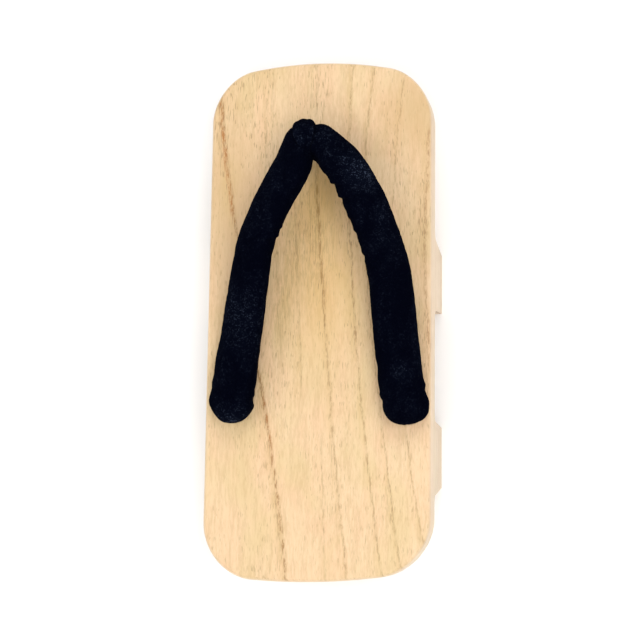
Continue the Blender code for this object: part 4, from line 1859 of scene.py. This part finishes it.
LAMPS = (
    Lamp("toe_window", (0.25, 1.15, 1.35), (0.0, 0.02, 0.05), 1.0, 8.0, (1.0, 1.0, 1.0)),
    Lamp("heel_fill", (0.15, -1.05, 1.45), (0.0, -0.1, 0.05), 1.1, 11.2, (1.0, 0.995, 0.99)),
    Lamp("right_overhead", (0.70, -0.10, 1.50), (0.0, 0.0, 0.05), 0.8, 9.6, (1.0, 1.0, 1.0)),
    Lamp("left_overhead", (-1.10, -0.10, 1.30), (0.0, 0.0, 0.05), 0.9, 7.0, (1.0, 1.0, 1.0)),
)


@dataclass
class Studio:
    """The pale floor, the soft light and the camera."""

    camera_at: RGB = (0.15112, -0.09454, 0.950)
    aim: RGB = (0.0, 0.0, 0.045)
    camera_up: RGB = (0.00333, 0.99486, 0.10122)
    focal: float = 110.0
    sensor: float = 36.0
    sky: float = 0.46
    backdrop: float = 1.05
    sky_colour: RGB = (0.98, 0.99, 1.0)
    floor_half: float = 3.0

    def camera(self) -> None:
        """Sets the camera where the photograph was taken from, aimed at the one geta."""
        data = bpy.data.cameras.new("camera")
        data.lens = self.focal
        data.sensor_width = self.sensor
        data.clip_start = 0.01
        camera = bpy.data.objects.new("camera", data)
        back = (Vector(self.camera_at) - Vector(self.aim)).normalized()
        right = Vector(self.camera_up).cross(back).normalized()
        up = back.cross(right)
        turned = Matrix((right, up, back)).transposed().to_4x4()
        camera.matrix_world = Matrix.Translation(self.camera_at) @ turned
        bpy.context.scene.collection.objects.link(camera)
        bpy.context.scene.camera = camera

    def light(self, lamp: Lamp) -> None:
        """Adds a square soft light.

        Args:
            lamp: The light.
        """
        data = bpy.data.lights.new(lamp.name, "AREA")
        data.size = lamp.size
        data.energy = lamp.power
        data.color = lamp.colour
        made = bpy.data.objects.new(lamp.name, data)
        made.location = lamp.at
        made.rotation_euler = (Vector(lamp.to) - Vector(lamp.at)).to_track_quat("-Z", "Y").to_euler()
        bpy.context.scene.collection.objects.link(made)

    def build(self, finishes: Finishes) -> None:
        """Makes the floor, the lights and the camera.

        Args:
            finishes: The materials.
        """
        half = self.floor_half
        corners = [(-half, -half, 0), (half, -half, 0), (half, half, 0), (-half, half, 0)]
        floor = new_object("floor", corners, [(0, 1, 2, 3)])
        floor.data.materials.append(finishes.floor)
        world = bpy.data.worlds.new("soft_daylight")
        world.use_nodes = True
        sky = world.node_tree.nodes["Background"]
        sky.inputs["Color"].default_value = (*self.sky_colour, 1.0)
        t = Tree(world.node_tree)
        # The backdrop looks as white as the floor, while the light that it gives stays softer.
        seen = t.add("ShaderNodeLightPath").outputs["Is Camera Ray"]
        t.wire(t.math("MULTIPLY_ADD", seen, self.backdrop - self.sky, self.sky), sky.inputs["Strength"])
        bpy.context.scene.world = world
        for lamp in LAMPS:
            self.light(lamp)
        bpy.context.scene.view_settings.view_transform = "Standard"
        self.camera()


def main() -> None:
    """Builds the dressed geta and its studio."""
    logging.basicConfig(level=logging.INFO, format="%(message)s")
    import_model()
    finishes = Finishes()
    Studio().build(finishes)
    board = DaiBoard()
    board.build(finishes)
    strap = HanaoStrap(board)
    strap.build(finishes)
    loop = ToeLoop(strap)
    loop.build(finishes)
    TieCords(TwistedCord(), loop).build(finishes)


if __name__ == "__main__":
    main()
